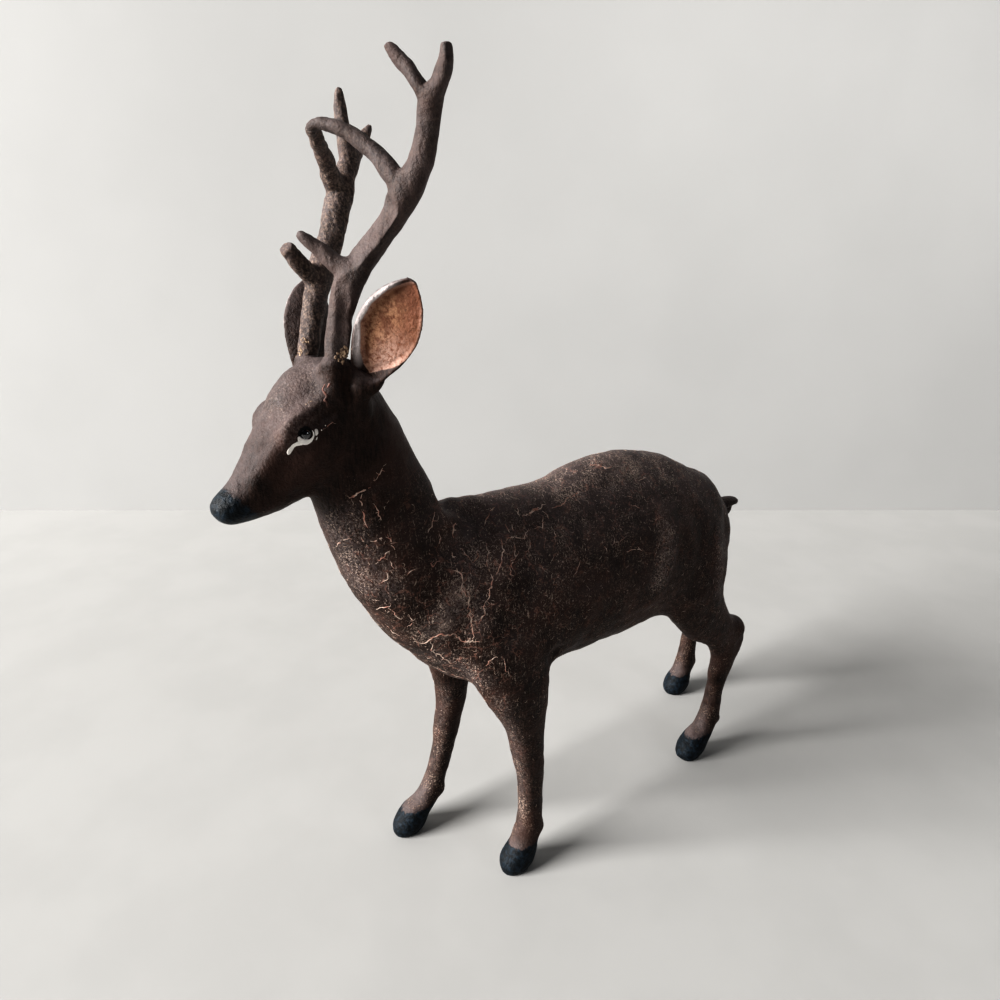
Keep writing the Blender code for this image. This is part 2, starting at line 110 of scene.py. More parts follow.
def camera_axes():
    turn, pitch = math.radians(CAMERA_TURN), math.radians(CAMERA_PITCH)
    right = Vector((math.cos(turn), math.sin(turn), 0.0))
    ahead = Vector((-math.sin(turn) * math.cos(pitch), math.cos(turn) * math.cos(pitch), -math.sin(pitch)))
    return right, ahead, right.cross(ahead)


def pixel_ray(x, y):
    right, ahead, up = camera_axes()
    along = ahead + right * ((x - PHOTO_MIDDLE) / PHOTO_FOCAL) + up * ((PHOTO_MIDDLE - y) / PHOTO_FOCAL)
    return place(*CAMERA_PLACE), along.normalized()


# Mesh tools

# Points of a CAD node this close together, in metres, are one
MERGE = 1e-6
# How far each smoothing pass pulls in and then pushes back out
PULL_IN = 0.55
PUSH_OUT = 0.57
# How many waves make up a field of bumps, and what brings their sum to about 1
BUMP_WAVES = 14
BUMP_LEVEL = 1.4


def new_piece(name, vertices, faces):
    mesh = bpy.data.meshes.new(name)
    mesh.from_pydata([tuple(v) for v in vertices], [], [tuple(f) for f in faces])
    mesh.update()
    return link_piece(name, mesh)


def link_piece(name, mesh):
    piece = bpy.data.objects.new(name, mesh)
    bpy.context.scene.collection.objects.link(piece)
    return piece


def bake_modifiers(piece):
    """Turns the evaluated shape into the piece's own plain mesh."""
    bpy.context.view_layer.update()
    graph = bpy.context.evaluated_depsgraph_get()
    mesh = bpy.data.meshes.new_from_object(piece.evaluated_get(graph))
    piece.modifiers.clear()
    piece.data = mesh


def node_copy(node, name, extra=None):
    """A merged copy of a CAD node, with further shapes added to it."""
    source = frame["nodes"][node]
    bm = bmesh.new()
    bm.from_mesh(source.data)
    bmesh.ops.transform(bm, matrix=source.matrix_world, verts=bm.verts)
    bmesh.ops.remove_doubles(bm, verts=bm.verts, dist=MERGE)
    for face in bm.faces:
        face.material_index = 0
    if extra:
        extra(bm)
    return link_piece(name, mesh_from(bm, name))


def mesh_from(bm, name):
    """Turns a bmesh into a mesh and frees it."""
    mesh = bpy.data.meshes.new(name)
    bm.to_mesh(mesh)
    bm.free()
    return mesh


def add_ellipsoid(bm, middle, radii, axis=(0, 0, 1), segments=24):
    turn = Vector((0, 0, 1)).rotation_difference(Vector(axis)).to_matrix().to_4x4()
    matrix = Matrix.Translation(middle) @ turn @ Matrix.Diagonal((*radii, 1.0))
    rings = segments // 2 + 2
    bmesh.ops.create_uvsphere(bm, u_segments=segments, v_segments=rings, radius=1.0, matrix=matrix)


def reskin(piece, voxel):
    remesh = piece.modifiers.new("Skin", "REMESH")
    remesh.mode = "VOXEL"
    remesh.voxel_size = voxel
    bake_modifiers(piece)


def places_of(mesh):
    places = np.empty(len(mesh.vertices) * 3)
    mesh.vertices.foreach_get("co", places)
    return places.reshape(-1, 3)


def normals_of(mesh):
    normals = np.empty(len(mesh.vertices) * 3)
    mesh.vertices.foreach_get("normal", normals)
    return normals.reshape(-1, 3)


def set_places(mesh, places):
    mesh.vertices.foreach_set("co", np.ascontiguousarray(places, float).ravel())
    mesh.update()


def neighbours(mesh):
    """Each edge both ways round, and how many neighbours each point has."""
    edges = np.empty(len(mesh.edges) * 2, int)
    mesh.edges.foreach_get("vertices", edges)
    edges = edges.reshape(-1, 2)
    ends = np.concatenate((edges, edges[:, ::-1]))
    return ends, np.maximum(np.bincount(ends[:, 0], minlength=len(mesh.vertices)), 1)


def smooth(piece, passes, share=None):
    """Smooths without shrinking: each pass pulls in, then pushes a little further out."""
    mesh = piece.data
    places = places_of(mesh)
    ends, valence = neighbours(mesh)
    share = 1.0 if share is None else share[:, None]

    def pull(at):
        total = np.stack([np.bincount(ends[:, 0], at[ends[:, 1], k], len(at)) for k in range(3)], 1)
        return total / valence[:, None] - at

    for _ in range(passes):
        places = places + PULL_IN * share * pull(places)
        places = places - PUSH_OUT * share * pull(places)
    set_places(mesh, places)


def spread(mesh, values, passes):
    """Averages a value over each point's neighbours."""
    ends, valence = neighbours(mesh)
    for _ in range(passes):
        values = (values + np.bincount(ends[:, 0], values[ends[:, 1]], len(values)) / valence) / 2
    return values


def shade_smooth(piece):
    piece.data.polygons.foreach_set("use_smooth", np.ones(len(piece.data.polygons), bool))
    piece.data.update()


def set_attribute(piece, name, values):
    layer = piece.data.attributes.new(name, "FLOAT", "POINT")
    layer.data.foreach_set("value", np.ascontiguousarray(values, np.float32))


def bump_field(places, size, seed):
    """Smooth pseudo-random heights between -1 and 1 over places in metres, with bumps about this big."""
    rng = np.random.default_rng(seed)
    total = np.zeros(len(places))
    for _ in range(BUMP_WAVES):
        way = rng.normal(size=3)
        way = way / np.linalg.norm(way) * 2 * math.pi / (size * rng.uniform(0.75, 1.5))
        total += np.sin(places @ way + rng.uniform(0, 2 * math.pi))
    return total / BUMP_WAVES**0.5 / BUMP_LEVEL


def tree_of(piece):
    mesh = piece.data
    mesh.calc_loop_triangles()
    corners = [tuple(t.vertices) for t in mesh.loop_triangles]
    return BVHTree.FromPolygons([v.co.copy() for v in mesh.vertices], corners)


def finish_piece(piece, node, material):
    piece.data.materials.clear()
    piece.data.materials.append(material)
    shade_smooth(piece)
    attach(piece, BODY)
    if node:
        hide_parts(node)
    return piece


# Materials


class Finish:
    """A node material built step by step; its pattern coordinates are the object's, in millimetres."""

    def __init__(self, name, roughness=0.5, **constants):
        self.material = bpy.data.materials.new(name)
        self.material.use_nodes = True
        self.tree = self.material.node_tree
        self.shader = self.tree.nodes["Principled BSDF"]
        self.shader.inputs["Roughness"].default_value = roughness
        for socket, value in constants.items():
            self.shader.inputs[socket.replace("_", " ")].default_value = value
        coords = self.node("ShaderNodeTexCoord")
        self.coords = self.node(
            "ShaderNodeVectorMath", {"Vector": coords.outputs["Object"], "Scale": 1 / MM}, operation="SCALE"
        ).outputs["Vector"]

    def node(self, kind, inputs=None, **settings):
        made = self.tree.nodes.new(kind)
        for key, value in settings.items():
            setattr(made, key, value)
        for key, value in (inputs or {}).items():
            self.feed(made.inputs[key], value)
        return made

    def feed(self, socket, value):
        if isinstance(value, bpy.types.NodeSocket):
            self.tree.links.new(value, socket)
        elif socket.type == "RGBA" and len(value) == 3:
            socket.default_value = (*value, 1.0)
        else:
            socket.default_value = value

    def noise(self, size, detail=3.0, roughness=0.55, distortion=0.0, coords=None):
        """Noise between about 0.3 and 0.7 whose bumps are about this many millimetres."""
        return self.node(
            "ShaderNodeTexNoise",
            {
                "Vector": coords or self.coords,
                "Scale": 1.0 / size,
                "Detail": detail,
                "Roughness": roughness,
                "Distortion": distortion,
            },
        ).outputs[0]

    def shifted(self, amount, size):
        """The coordinates pushed about by noise, so that lines through them wander."""
        wander = self.node(
            "ShaderNodeTexNoise", {"Vector": self.coords, "Scale": 1.0 / size, "Detail": 3.0}
        ).outputs["Color"]
        return self.node(
            "ShaderNodeVectorMath", {0: wander, 1: (amount,) * 3, 2: self.coords}, operation="MULTIPLY_ADD"
        ).outputs["Vector"]

    def stretched(self, x, y, z):
        """The coordinates with each axis multiplied, so that patterns are drawn out along the small ones."""
        return self.node(
            "ShaderNodeVectorMath", {0: self.coords, 1: (x, y, z)}, operation="MULTIPLY"
        ).outputs["Vector"]

    def wiggles(self, size, width):
        """Thin curling lines, where a noise crosses its middle value."""
        level = self.math("SUBTRACT", self.noise(size, 2.0), 0.5)
        return self.map(self.math("ABSOLUTE", level), 0.0, width, 1.0, 0.0)

    def cell_edges(self, size, coords):
        """How far each place is from the edge of its cell."""
        return self.node(
            "ShaderNodeTexVoronoi", {"Vector": coords, "Scale": 1.0 / size}, feature="DISTANCE_TO_EDGE"
        ).outputs["Distance"]

    def map(self, value, low, high, to_low=0.0, to_high=1.0):
        return self.node(
            "ShaderNodeMapRange",
            {"Value": value, "From Min": low, "From Max": high, "To Min": to_low, "To Max": to_high},
            interpolation_type="SMOOTHSTEP" if (to_low, to_high) in ((0.0, 1.0), (1.0, 0.0)) else "LINEAR",
        ).outputs["Result"]

    def math(self, operation, a, b=0.0, c=0.0):
        return self.node("ShaderNodeMath", {0: a, 1: b, 2: c}, operation=operation).outputs[0]

    def times(self, *values):
        total = values[0]
        for value in values[1:]:
            total = self.math("MULTIPLY", total, value)
        return total

    def mix(self, factor, a, b):
        return self.node("ShaderNodeMix", {0: factor, 6: a, 7: b}, data_type="RGBA").outputs[2]

    def attribute(self, name):
        return self.node("ShaderNodeAttribute", attribute_name=name).outputs["Fac"]

    def facing(self, way):
        """How far the surface faces this way, from -1 to 1."""
        geometry = self.node("ShaderNodeNewGeometry")
        return self.node(
            "ShaderNodeVectorMath", {0: geometry.outputs["Normal"], 1: way}, operation="DOT_PRODUCT"
        ).outputs["Value"]

    def color(self, value):
        self.feed(self.shader.inputs["Base Color"], value)

    def rough(self, value):
        self.feed(self.shader.inputs["Roughness"], value)

    def bump(self, *layers):
        """Layers of (height socket, millimetres of relief)."""
        normal = None
        for height, relief in layers:
            made = self.node("ShaderNodeBump", {"Strength": 1.0, "Distance": relief * MM, "Height": height})
            if normal:
                self.feed(made.inputs["Normal"], normal)
            normal = made.outputs["Normal"]
        self.feed(self.shader.inputs["Normal"], normal)


# The coat's patterns: the size of the bumps in millimetres
BROAD_SIZE = 22.0
MEDIUM_SIZE = 5.0
FINE_SIZE = 0.8
PATCH_SIZE = 9.0
STIPPLE_SIZE = 0.62
CURL_SIZE = 1.3
CURL_WIDTH = 0.028
CELL_SIZE = 5.5
# How far the edges of the cells wander, and over which size, in millimetres
CELL_WANDER = (4.5, 2.6)
# How fibres, grazes and drips are drawn out, as multipliers of each axis
FIBRE_STRETCH = (1.1, 1.1, 0.22)
GRAZE_STRETCH = (1.7, 0.5, 1.2)
DRIP_STRETCH = (1.7, 1.7, 0.18)
# The noise levels between which each pattern comes in
PATCH_LEVELS = (0.44, 0.62)
STIPPLE_LEVELS = (0.61, 0.68)
GRAZE_LEVELS = (0.61, 0.70)
DRIP_LEVELS = (0.63, 0.69)
# How strongly each pattern covers the paint
RED_SHARE = 0.45
DUST_AND_SHEEN_SHARES = (0.26, 0.46)
VEIL_SHARE = 0.24
STIPPLE_SHARE = 0.75
GRAZE_SHARE = 0.3
CURL_SHARE = 0.55
CELL_SHARE = 0.45
# How much more stipple shows in the worn patches and in the haze patches, both partly painted light
WORN_AND_PAINTED_LIGHT_LIFT = 0.075
HAZE_AND_SHEEN_LIFT = 0.045
# The relief of the coat's medium bumps, fine bumps and specks, in millimetres
COAT_RELIEF = (0.75, 0.35, 0.05)


def brown_coat(finish, look, dust_and_sheen=1.0, tan=1.0, net=0.3, worn=0.0, haze=0.0):
    """Dark brown paint with tan stipple, scratches, a net of fine cracks, and dust on what faces up that is
    also painted sheen.
    """
    broad = finish.noise(BROAD_SIZE, 2.0)
    medium = finish.noise(MEDIUM_SIZE, 4.0, 0.6)
    fine = finish.noise(FINE_SIZE, 4.0, 0.65)
    fibres = finish.noise(1.0, 3.0, 0.6, coords=finish.stretched(*FIBRE_STRETCH))
    base = finish.math("ADD", finish.times(medium, 0.3), finish.times(fibres, 0.7))
    color = finish.mix(finish.map(base, 0.34, 0.70), look.paint_dark, look.paint_brown)
    color = finish.mix(finish.times(finish.map(broad, 0.46, 0.62), RED_SHARE), color, look.paint_red)
    upward = finish.map(finish.facing((0, 0, 1)), 0.0, 0.9)
    # Dust on what faces up, partly real dust and partly painted sheen of the light on upper faces
    dusting_and_sheen = finish.times(upward, finish.map(medium, 0.35, 0.68, *DUST_AND_SHEEN_SHARES), dust_and_sheen)
    # A pale veil on the haze patches: partly dust, partly painted sheen where the light falls on them
    veil = finish.times(haze, finish.map(fine, 0.34, 0.64), VEIL_SHARE)
    color = finish.mix(finish.math("MAXIMUM", dusting_and_sheen, veil), color, look.dust_and_sheen)
    patches = finish.map(finish.noise(PATCH_SIZE, 3.0), *PATCH_LEVELS, 0.08, 1.0)
    lifted = finish.math("ADD", finish.noise(STIPPLE_SIZE, 3.0, 0.72), finish.times(WORN_AND_PAINTED_LIGHT_LIFT, worn))
    lifted = finish.math("ADD", lifted, finish.times(HAZE_AND_SHEEN_LIFT, haze))
    calm = finish.map(net, 0.02, 0.10, 0.12, 1.0)
    stipple = finish.times(finish.map(lifted, *STIPPLE_LEVELS), patches, calm, STIPPLE_SHARE * tan)
    grazed = finish.noise(1.0, 2.0, 0.6, coords=finish.stretched(*GRAZE_STRETCH))
    grazed = finish.times(
        finish.map(grazed, *GRAZE_LEVELS), finish.map(broad, 0.5, 0.6), net, GRAZE_SHARE * tan
    )
    drips = finish.noise(1.0, 1.0, 0.5, coords=finish.stretched(*DRIP_STRETCH))
    drips = finish.times(finish.map(drips, *DRIP_LEVELS), finish.map(fine, 0.47, 0.6), net, tan)
    specks = finish.math("MAXIMUM", finish.math("MAXIMUM", stipple, grazed), drips)
    pale = finish.mix(finish.math("MAXIMUM", finish.times(haze, 0.55), net), look.tan, look.crack_tan)
    color = finish.mix(specks, color, pale)
    curls = finish.wiggles(CURL_SIZE, CURL_WIDTH)
    wormed = finish.math("MAXIMUM", net, finish.times(haze, 0.30))
    curl_spots = finish.map(finish.noise(6.0, 2.0), 0.43, 0.54)
    curls = finish.times(curls, curl_spots, finish.map(fine, 0.42, 0.56), wormed)
    cells = finish.cell_edges(CELL_SIZE, finish.shifted(*CELL_WANDER))
    cells = finish.times(finish.map(cells, 0.012, 0.045, 1.0, 0.0), finish.map(medium, 0.47, 0.58), net)
    color = finish.mix(finish.times(curls, CURL_SHARE), color, look.crack_tan)
    color = finish.mix(finish.times(cells, CELL_SHARE), color, look.crack_red)
    roughness = finish.math("ADD", finish.map(medium, 0.35, 0.7, 0.46, 0.62), finish.times(stipple, 0.25))
    heights = (medium, fine, finish.math("ADD", curls, stipple))
    return color, roughness, tuple(zip(heights, COAT_RELIEF))


def skin_paint(look):
    """The coat with slate hooves and nose, dark eye lines with a painted lid shadow above, and worn patches
    that are partly painted light.
    """
    finish = Finish("skin_paint", IOR=1.45, Specular_IOR_Level=look.gloss)
    color, roughness, relief = brown_coat(
        finish,
        look,
        net=finish.attribute("crackle"),
        worn=finish.attribute("worn"),
        haze=finish.attribute("haze"),
    )
    ragged = finish.times(finish.math("SUBTRACT", finish.noise(1.6, 4.0, 0.65), 0.5), 3.5)
    # The dark line round each bead, widened above into a painted shadow under the lid
    line = finish.math("ADD", finish.attribute("eye_line"), finish.times(ragged, 0.12))
    color = finish.mix(finish.map(line, 0.0, 0.5), color, look.eye_black)
    slate = finish.mix(finish.map(finish.noise(1.6, 3.0), 0.4, 0.7), look.slate_dark, look.slate)
    for name, low, high, sheen in (("hoof", -0.2, 0.5, 0.55), ("nose", -0.8, 1.2, 0.40)):
        share = finish.map(finish.math("ADD", finish.attribute(name), ragged), low, high)
        color = finish.mix(share, color, slate)
        roughness = finish.node("ShaderNodeMix", {0: share, 2: roughness, 3: sheen}).outputs[0]
    finish.color(color)
    finish.rough(roughness)
    finish.bump(*relief)
    return finish.material


def antler_paint(look):
    finish = Finish("antler_paint", IOR=1.45, Specular_IOR_Level=look.antler_gloss)
    color, roughness, relief = brown_coat(finish, look, dust_and_sheen=0.5, tan=0.12, net=0.02)
    # A grey veil over each antler: dust, and painted sheen standing in for the antlers' gloss
    color = finish.mix(finish.map(finish.noise(7.0, 3.0), 0.40, 0.62, 0.08, 0.22), color, look.dust_and_sheen)
    grain = finish.noise(0.9, 4.0, 0.7, 0.4)
    sandy = finish.times(finish.attribute("sandy"), finish.map(grain, 0.44, 0.66), 0.65)
    color = finish.mix(sandy, color, look.tan)
    finish.color(color)
    finish.rough(finish.math("ADD", roughness, 0.12))
    finish.bump(*relief, (grain, 0.15))
    return finish.material


def ear_paint(look):
    """Brown backs, and hollows in mottled orange with a pinkish rim, painted shade on the hollow's far side
    and top, and a painted highlight on the fore rim.
    """
    finish = Finish("ear_paint", IOR=1.45, Specular_IOR_Level=look.gloss)
    color, roughness, relief = brown_coat(finish, look, tan=0.6, net=0.1)
    ragged = finish.times(finish.math("SUBTRACT", finish.noise(1.2, 3.0), 0.5), 0.4)
    depth = finish.math("ADD", finish.attribute("hollow"), ragged)
    mottle = finish.noise(1.2, 5.0, 0.7, 0.4)
    blotch = finish.noise(4.0, 2.0)
    inner = finish.mix(finish.map(mottle, 0.36, 0.58), look.ear_deep, look.ear_orange)
    # Painted shade: the hollow's far side and top are darkened, along with real darker blotches
    deeper_and_shaded = finish.math("MAXIMUM", finish.map(blotch, 0.5, 0.62), finish.attribute("deep_side"))
    inner = finish.mix(finish.times(deeper_and_shaded, 0.85), inner, look.ear_deep)
    paler = finish.math("MAXIMUM", finish.map(depth, 1.3, 0.2, 0.0, 0.6), finish.attribute("low_side"))
    inner = finish.mix(finish.times(paler, finish.map(mottle, 0.32, 0.56), 0.9), inner, look.ear_pink)
    dots = finish.times(finish.map(finish.noise(0.6, 3.0, 0.6), 0.58, 0.68), 0.5)
    inner = finish.mix(dots, inner, look.paint_red)
    # Painted highlight: light grey along the ear's fore rim, where the light catches it
    rim_highlight = finish.times(finish.map(depth, -2.6, -0.6), finish.attribute("rim_side"))
    color = finish.mix(rim_highlight, color, look.ear_rim)
    color = finish.mix(finish.map(depth, -0.25, 0.15), color, inner)
    finish.color(color)
    finish.rough(roughness)
    finish.bump(*relief, (mottle, 0.25))
    return finish.material


def tail_paint(look):
    finish = Finish("tail_paint", IOR=1.45, Specular_IOR_Level=look.gloss)
    color, roughness, relief = brown_coat(finish, look, dust_and_sheen=0.35, tan=0.5, net=0.15)
    finish.color(color)
    finish.rough(roughness)
    finish.bump(*relief)
    return finish.material


def eye_gloss(look):
    finish = Finish(
        "eye_gloss", roughness=0.08, IOR=1.45, Specular_IOR_Level=1.0, Coat_Weight=1.0, Coat_Roughness=0.05
    )
    smear = finish.noise(1.2, 3.0)
    color = finish.mix(finish.map(smear, 0.4, 0.7), look.eye_black, look.slate_dark)
    # Painted reflection: grey on each bead's upper outer edge
    finish.color(finish.mix(finish.attribute("upper"), color, look.eye_painted_reflection))
    finish.rough(finish.map(smear, 0.4, 0.7, 0.05, 0.12))
    return finish.material


def eye_white(look):
    finish = Finish("eye_white", roughness=0.5, IOR=1.45)
    smear = finish.noise(0.6, 3.0, 0.6)
    finish.color(finish.mix(finish.map(smear, 0.6, 0.85), look.eye_white, look.dust_and_sheen))
    finish.bump((smear, 0.06))
    return finish.material


def crack_fill(name, look, pale, deep):
    finish = Finish(name, roughness=0.6, IOR=1.45)
    change = finish.noise(2.4, 4.0, 0.65)
    finish.color(finish.mix(finish.map(change, 0.42, 0.6), deep, pale))
    finish.bump((change, 0.05))
    return finish.material


def glue_finish(look):
    finish = Finish("glue", roughness=0.5, IOR=1.45)
    stain = finish.noise(1.3, 4.0, 0.65)
    finish.color(finish.mix(finish.map(stain, 0.42, 0.6), look.glue_pale, look.glue_dark))
    finish.bump((stain, 0.15))
    return finish.material


def room_paint(name, color, grain):
    finish = Finish(name, roughness=0.75, IOR=1.4)
    cloud = finish.noise(grain, 3.0)
    dimmed = tuple(0.96 * channel for channel in color)
    finish.color(finish.mix(finish.map(cloud, 0.35, 0.65), dimmed, tuple(color)))
    finish.bump((finish.noise(3.0, 2.0), 0.02))
    return finish.material


# Landmarks

UP = Vector((0, 0, 1))
HEAD_PITCH = math.radians(36.0)
HEAD_ALONG = Vector((0, -math.cos(HEAD_PITCH), -math.sin(HEAD_PITCH)))
HEAD_ABOVE = Vector((0, -math.sin(HEAD_PITCH), math.cos(HEAD_PITCH)))
EYE_OUTWARD = Vector((0.93, -0.32, 0.12)).normalized()
# Where each antler leaves the head and the way it goes, in carving millimetres
ANTLER_ROOTS = {
    "antler_left": ((11.0, -119.0, 219.0), (0.10, 0.15, 1.0)),
    "antler_right": ((-11.0, -118.2, 217.0), (-0.09, 0.27, 1.0)),
}
# Each ear's foot in the head, its root, its tip and the way its hollow faces
EARS = {
    "ear_left": ((10.2, -113.4, 202.5), (14.2, -113.6, 209.5), (33.0, -105.8, 239.8), (0.84, -0.54, 0.08)),
    "ear_right": ((-9.5, -116.5, 200.0), (-17.5, -117.5, 206.0), (-31.0, -107.0, 238.0), (-1.0, -0.1, 0.05)),
}
TAIL_ROOT = (0.0, 80.5, 120.5)
# Each hoof: the middle of its sole, and the height of its paint at the front and the back
HOOVES = (
    ((22.3, -60.9), 11.0, 12.5),
    ((-22.5, -87.0), 11.0, 12.5),
    ((20.8, 53.8), 11.0, 12.5),
    ((-20.8, 92.5), 11.0, 12.5),
)
HOOF_HALF_LENGTH = 6.5
HOOF_REACH = 16.0
# The edge of the slate paint on the nose, in photograph pixels from the top down
NOSE_EDGE_PIXELS = ((223.6, 490.0), (247.0, 501.0), (255.7, 515.7))


def eye_middle(side):
    low, high = (Vector(corner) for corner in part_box("eye_left" if side > 0 else "eye_right"))
    return (low + high) / 2


def outward(side):
    return Vector((EYE_OUTWARD.x * side, EYE_OUTWARD.y, EYE_OUTWARD.z))


def in_carving(places):
    return (places - np.array(CARVING_ORIGIN)) / MM


def falloff(distance, radius):
    return np.clip(1 - (distance / radius) ** 2, 0, 1) ** 2


def rise(values, start, length):
    """0 up to start, then growing to 1 over this length; a negative length counts downwards."""
    return np.clip((values - start) / length, 0, 1)


def distance_to_path(places, path):
    """How far each place lies from a chain of points."""
    best = np.full(len(places), np.inf)
    path = np.array(path, float)
    for a, b in zip(path[:-1], path[1:]):
        along = b - a
        share = np.clip((places - a) @ along / (along @ along), 0, 1)
        best = np.minimum(best, np.linalg.norm(places - a - share[:, None] * along, axis=1))
    return best


def cast_pixels(tree, pixels):
    """The places on the skin that these photograph pixels show, with the normals there."""
    found = []
    for x, y in pixels:
        spot, normal, _, _ = tree.ray_cast(*pixel_ray(x, y))
        if spot is None:
            raise RuntimeError(f"pixel {x}, {y} misses the skin")
        found.append((spot, normal))
    return found


def smooth_chain(points, spacing):
    """A rounded chain through these points (Catmull-Rom), with a point about every so far."""
    points = [np.array(p, float) for p in points]
    points = [2 * points[0] - points[1], *points, 2 * points[-1] - points[-2]]
    chain = []
    for a, b, c, d in zip(points, points[1:], points[2:], points[3:]):
        steps = max(2, int(np.linalg.norm(c - b) / spacing))
        for t in np.arange(steps) / steps:
            chain.append(
                0.5 * (2 * b + (c - a) * t + (2 * a - 5 * b + 4 * c - d) * t**2
                       + (3 * b - a - 3 * c + d) * t**3)
            )
    chain.append(points[-2])
    return np.array(chain)


# Skin


def ear_axes(ear):
    """The ear's root, its length, and unit directions along it, across it and out of its hollow."""
    _, root, tip, facing = ear
    along = Vector(tip) - Vector(root)
    length = along.length
    along.normalize()
    across = Vector(facing).cross(along).normalized()
    return np.array(root), length, np.array(along), np.array(across), np.array(along.cross(across))


# The stalk that carries each ear up from its foot: share of the ear's length, shift across and radius
EAR_STALK = (
    (-0.12, 0.0, 4.9),
    (-0.02, 0.0, 4.5),
    (0.03, 2.6, 2.9),
    (0.03, -2.6, 2.9),
    (0.08, 3.8, 2.0),
    (0.08, -3.8, 2.0),
    (0.14, 4.6, 1.4),
    (0.14, -4.6, 1.4),
)
EAR_STALK_SINK = 1.3
# What fills each pocket: how deep its middle lies and its radius, in millimetres
ANTLER_PLUG_DEPTH = 3.8
ANTLER_PLUG = 4.4
EAR_PLUG = 5.0
EYE_PLUG_DEPTH = 2.9
EYE_PLUG = 3.8
TAIL_PLUG = (3.6, 4.5, 6.0)
# Where the head's finer grid begins: above this height and before this place, in carving millimetres
HEAD_LOW = 182
HEAD_BACK = -104


def close_sockets(bm):
    """Fills the pockets of the separate parts and leaves a low collar round each."""
    for root, way in ANTLER_ROOTS.values():
        middle = Vector(root) - Vector(way).normalized() * ANTLER_PLUG_DEPTH
        add_ellipsoid(bm, place(*middle), (ANTLER_PLUG * MM,) * 3, way)
    for ear in EARS.values():
        add_ellipsoid(bm, place(*ear[0]), (EAR_PLUG * MM,) * 3)
        root, length, along, across, out = ear_axes(ear)
        for share, aside, radius in EAR_STALK:
            middle = root + along * length * share + across * aside - out * EAR_STALK_SINK
            add_ellipsoid(bm, place(*middle), (radius * MM,) * 3)
    for side in (1, -1):
        middle = eye_middle(side) - outward(side) * EYE_PLUG_DEPTH * MM
        add_ellipsoid(bm, middle, (EYE_PLUG * MM,) * 3)
    add_ellipsoid(bm, place(*TAIL_ROOT), tuple(radius * MM for radius in TAIL_PLUG))


def refine_head(piece):
    """Halves the grid of the head, where the small forms are."""
    bm = bmesh.new()
    bm.from_mesh(piece.data)
    edges = set()
    for face in bm.faces:
        _, y, z = to_carving(face.calc_center_median())
        if z > HEAD_LOW and y < HEAD_BACK:
            edges.update(face.edges)
    bmesh.ops.subdivide_edges(bm, edges=list(edges), cuts=1, use_grid_fill=True)
    bmesh.ops.triangulate(bm, faces=[face for face in bm.faces if len(face.verts) > 4])
    bm.to_mesh(piece.data)
    bm.free()


# Low forms of the body, from the photograph: lift and radius in millimetres, how far back the same form
# lies on the far side, then the pixels along it
BODY_FORMS = (
    (1.1, 9.0, -12.0, (503, 545), (500, 570), (494, 600), (484, 628)),
    (-1.2, 9.0, -12.0, (528, 535), (531, 570), (528, 600), (512, 625)),
    (-0.9, 8.0, -10.0, (464, 520), (449, 550), (437, 585), (428, 608)),
    (0.8, 9.0, -10.0, (470, 575), (462, 600), (452, 618)),
    (-0.6, 7.0, -12.0, (492, 648), (515, 636), (536, 628)),
    (1.1, 8.0, 12.0, (668, 518), (671, 545), (665, 575), (654, 598)),
    (-1.3, 13.0, 10.0, (640, 562), (615, 570), (588, 574)),
    (-0.7, 7.0, 12.0, (697, 515), (702, 550), (698, 590)),
    (0.6, 6.0, 12.0, (718, 530), (719, 570), (716, 600)),
    (-0.6, 5.0, 10.0, (660, 612), (674, 606), (688, 612)),
    (-3.0, 6.5, 0.0, (441, 494), (444, 498), (446, 501)),
    (0.8, 7.0, 0.0, (458, 505), (468, 502)),
    (1.2, 16.0, 0.0, (573, 469), (582, 465), (594, 461), (606, 459), (625, 457)),
    (0.9, 9.0, 0.0, (652, 459), (662, 461)),
    (1.0, 9.0, 0.0, (713, 488), (717, 496)),
    (-0.8, 8.0, 0.0, (726, 520), (727, 545)),
    (1.5, 6.0, 30.0, (739, 622), (741, 629)),
    (1.1, 6.0, 34.0, (714, 652), (714, 664), (712, 676)),
    (-0.8, 5.0, 10.0, (652, 610), (657, 611)),
    (-1.8, 5.0, -8.0, (553, 656), (556, 653)),
)
# Forms of the head: the edge of its flat top, the hollow under the brow, the side of the muzzle, the forehead
HEAD_FORMS = (
    (1.0, 4.5, 0.0, (334, 388), (322, 402), (306, 413), (292, 428), (279, 446), (267, 464), (256, 482)),
    (-0.9, 3.6, 0.0, (330, 412), (319, 419), (306, 423), (297, 430)),
    (-0.7, 6.0, 0.0, (297, 455), (283, 470), (271, 486)),
    (0.8, 6.0, 0.0, (291, 381), (280, 398)),
    (-0.5, 5.0, 0.0, (345, 430), (348, 450)),
    (-1.3, 4.5, 0.0, (442, 499), (447, 502)),
    (0.9, 6.0, 0.0, (458, 505), (466, 503)),
)


# The crease where the back of the neck meets the withers, in carving millimetres, and its reach
NECK_FOOT = ((0.0, -84.0, 168.0), (0.0, -76.0, 161.0))
NECK_FOOT_REACH = 12.0
# Where the top of the rump is sunk, in carving millimetres, and how far round and how deep
RUMP_TOP = ((1.5, 49.5, 155.0), (3.0, 56.0, 152.5))
RUMP_REACH = 13.0
RUMP_SINK = 2.6
# The brow's ridge over the eye: how far above it, how arched, how far along, its lift and its reach
BROW_ABOVE = 4.6
BROW_ARCH = 0.09
BROW_STEPS = (-5, -3, -1, 1, 3, 5)
BROW_LIFT = 0.5
BROW_REACH = 3.0
# Rings round the eye: lift, distance from its middle and reach of the hollow, then of the lid round the bead
EYE_HOLLOW = (-0.3, 4.4, 1.4)
EYE_LID = (0.25, 2.2, 0.7)
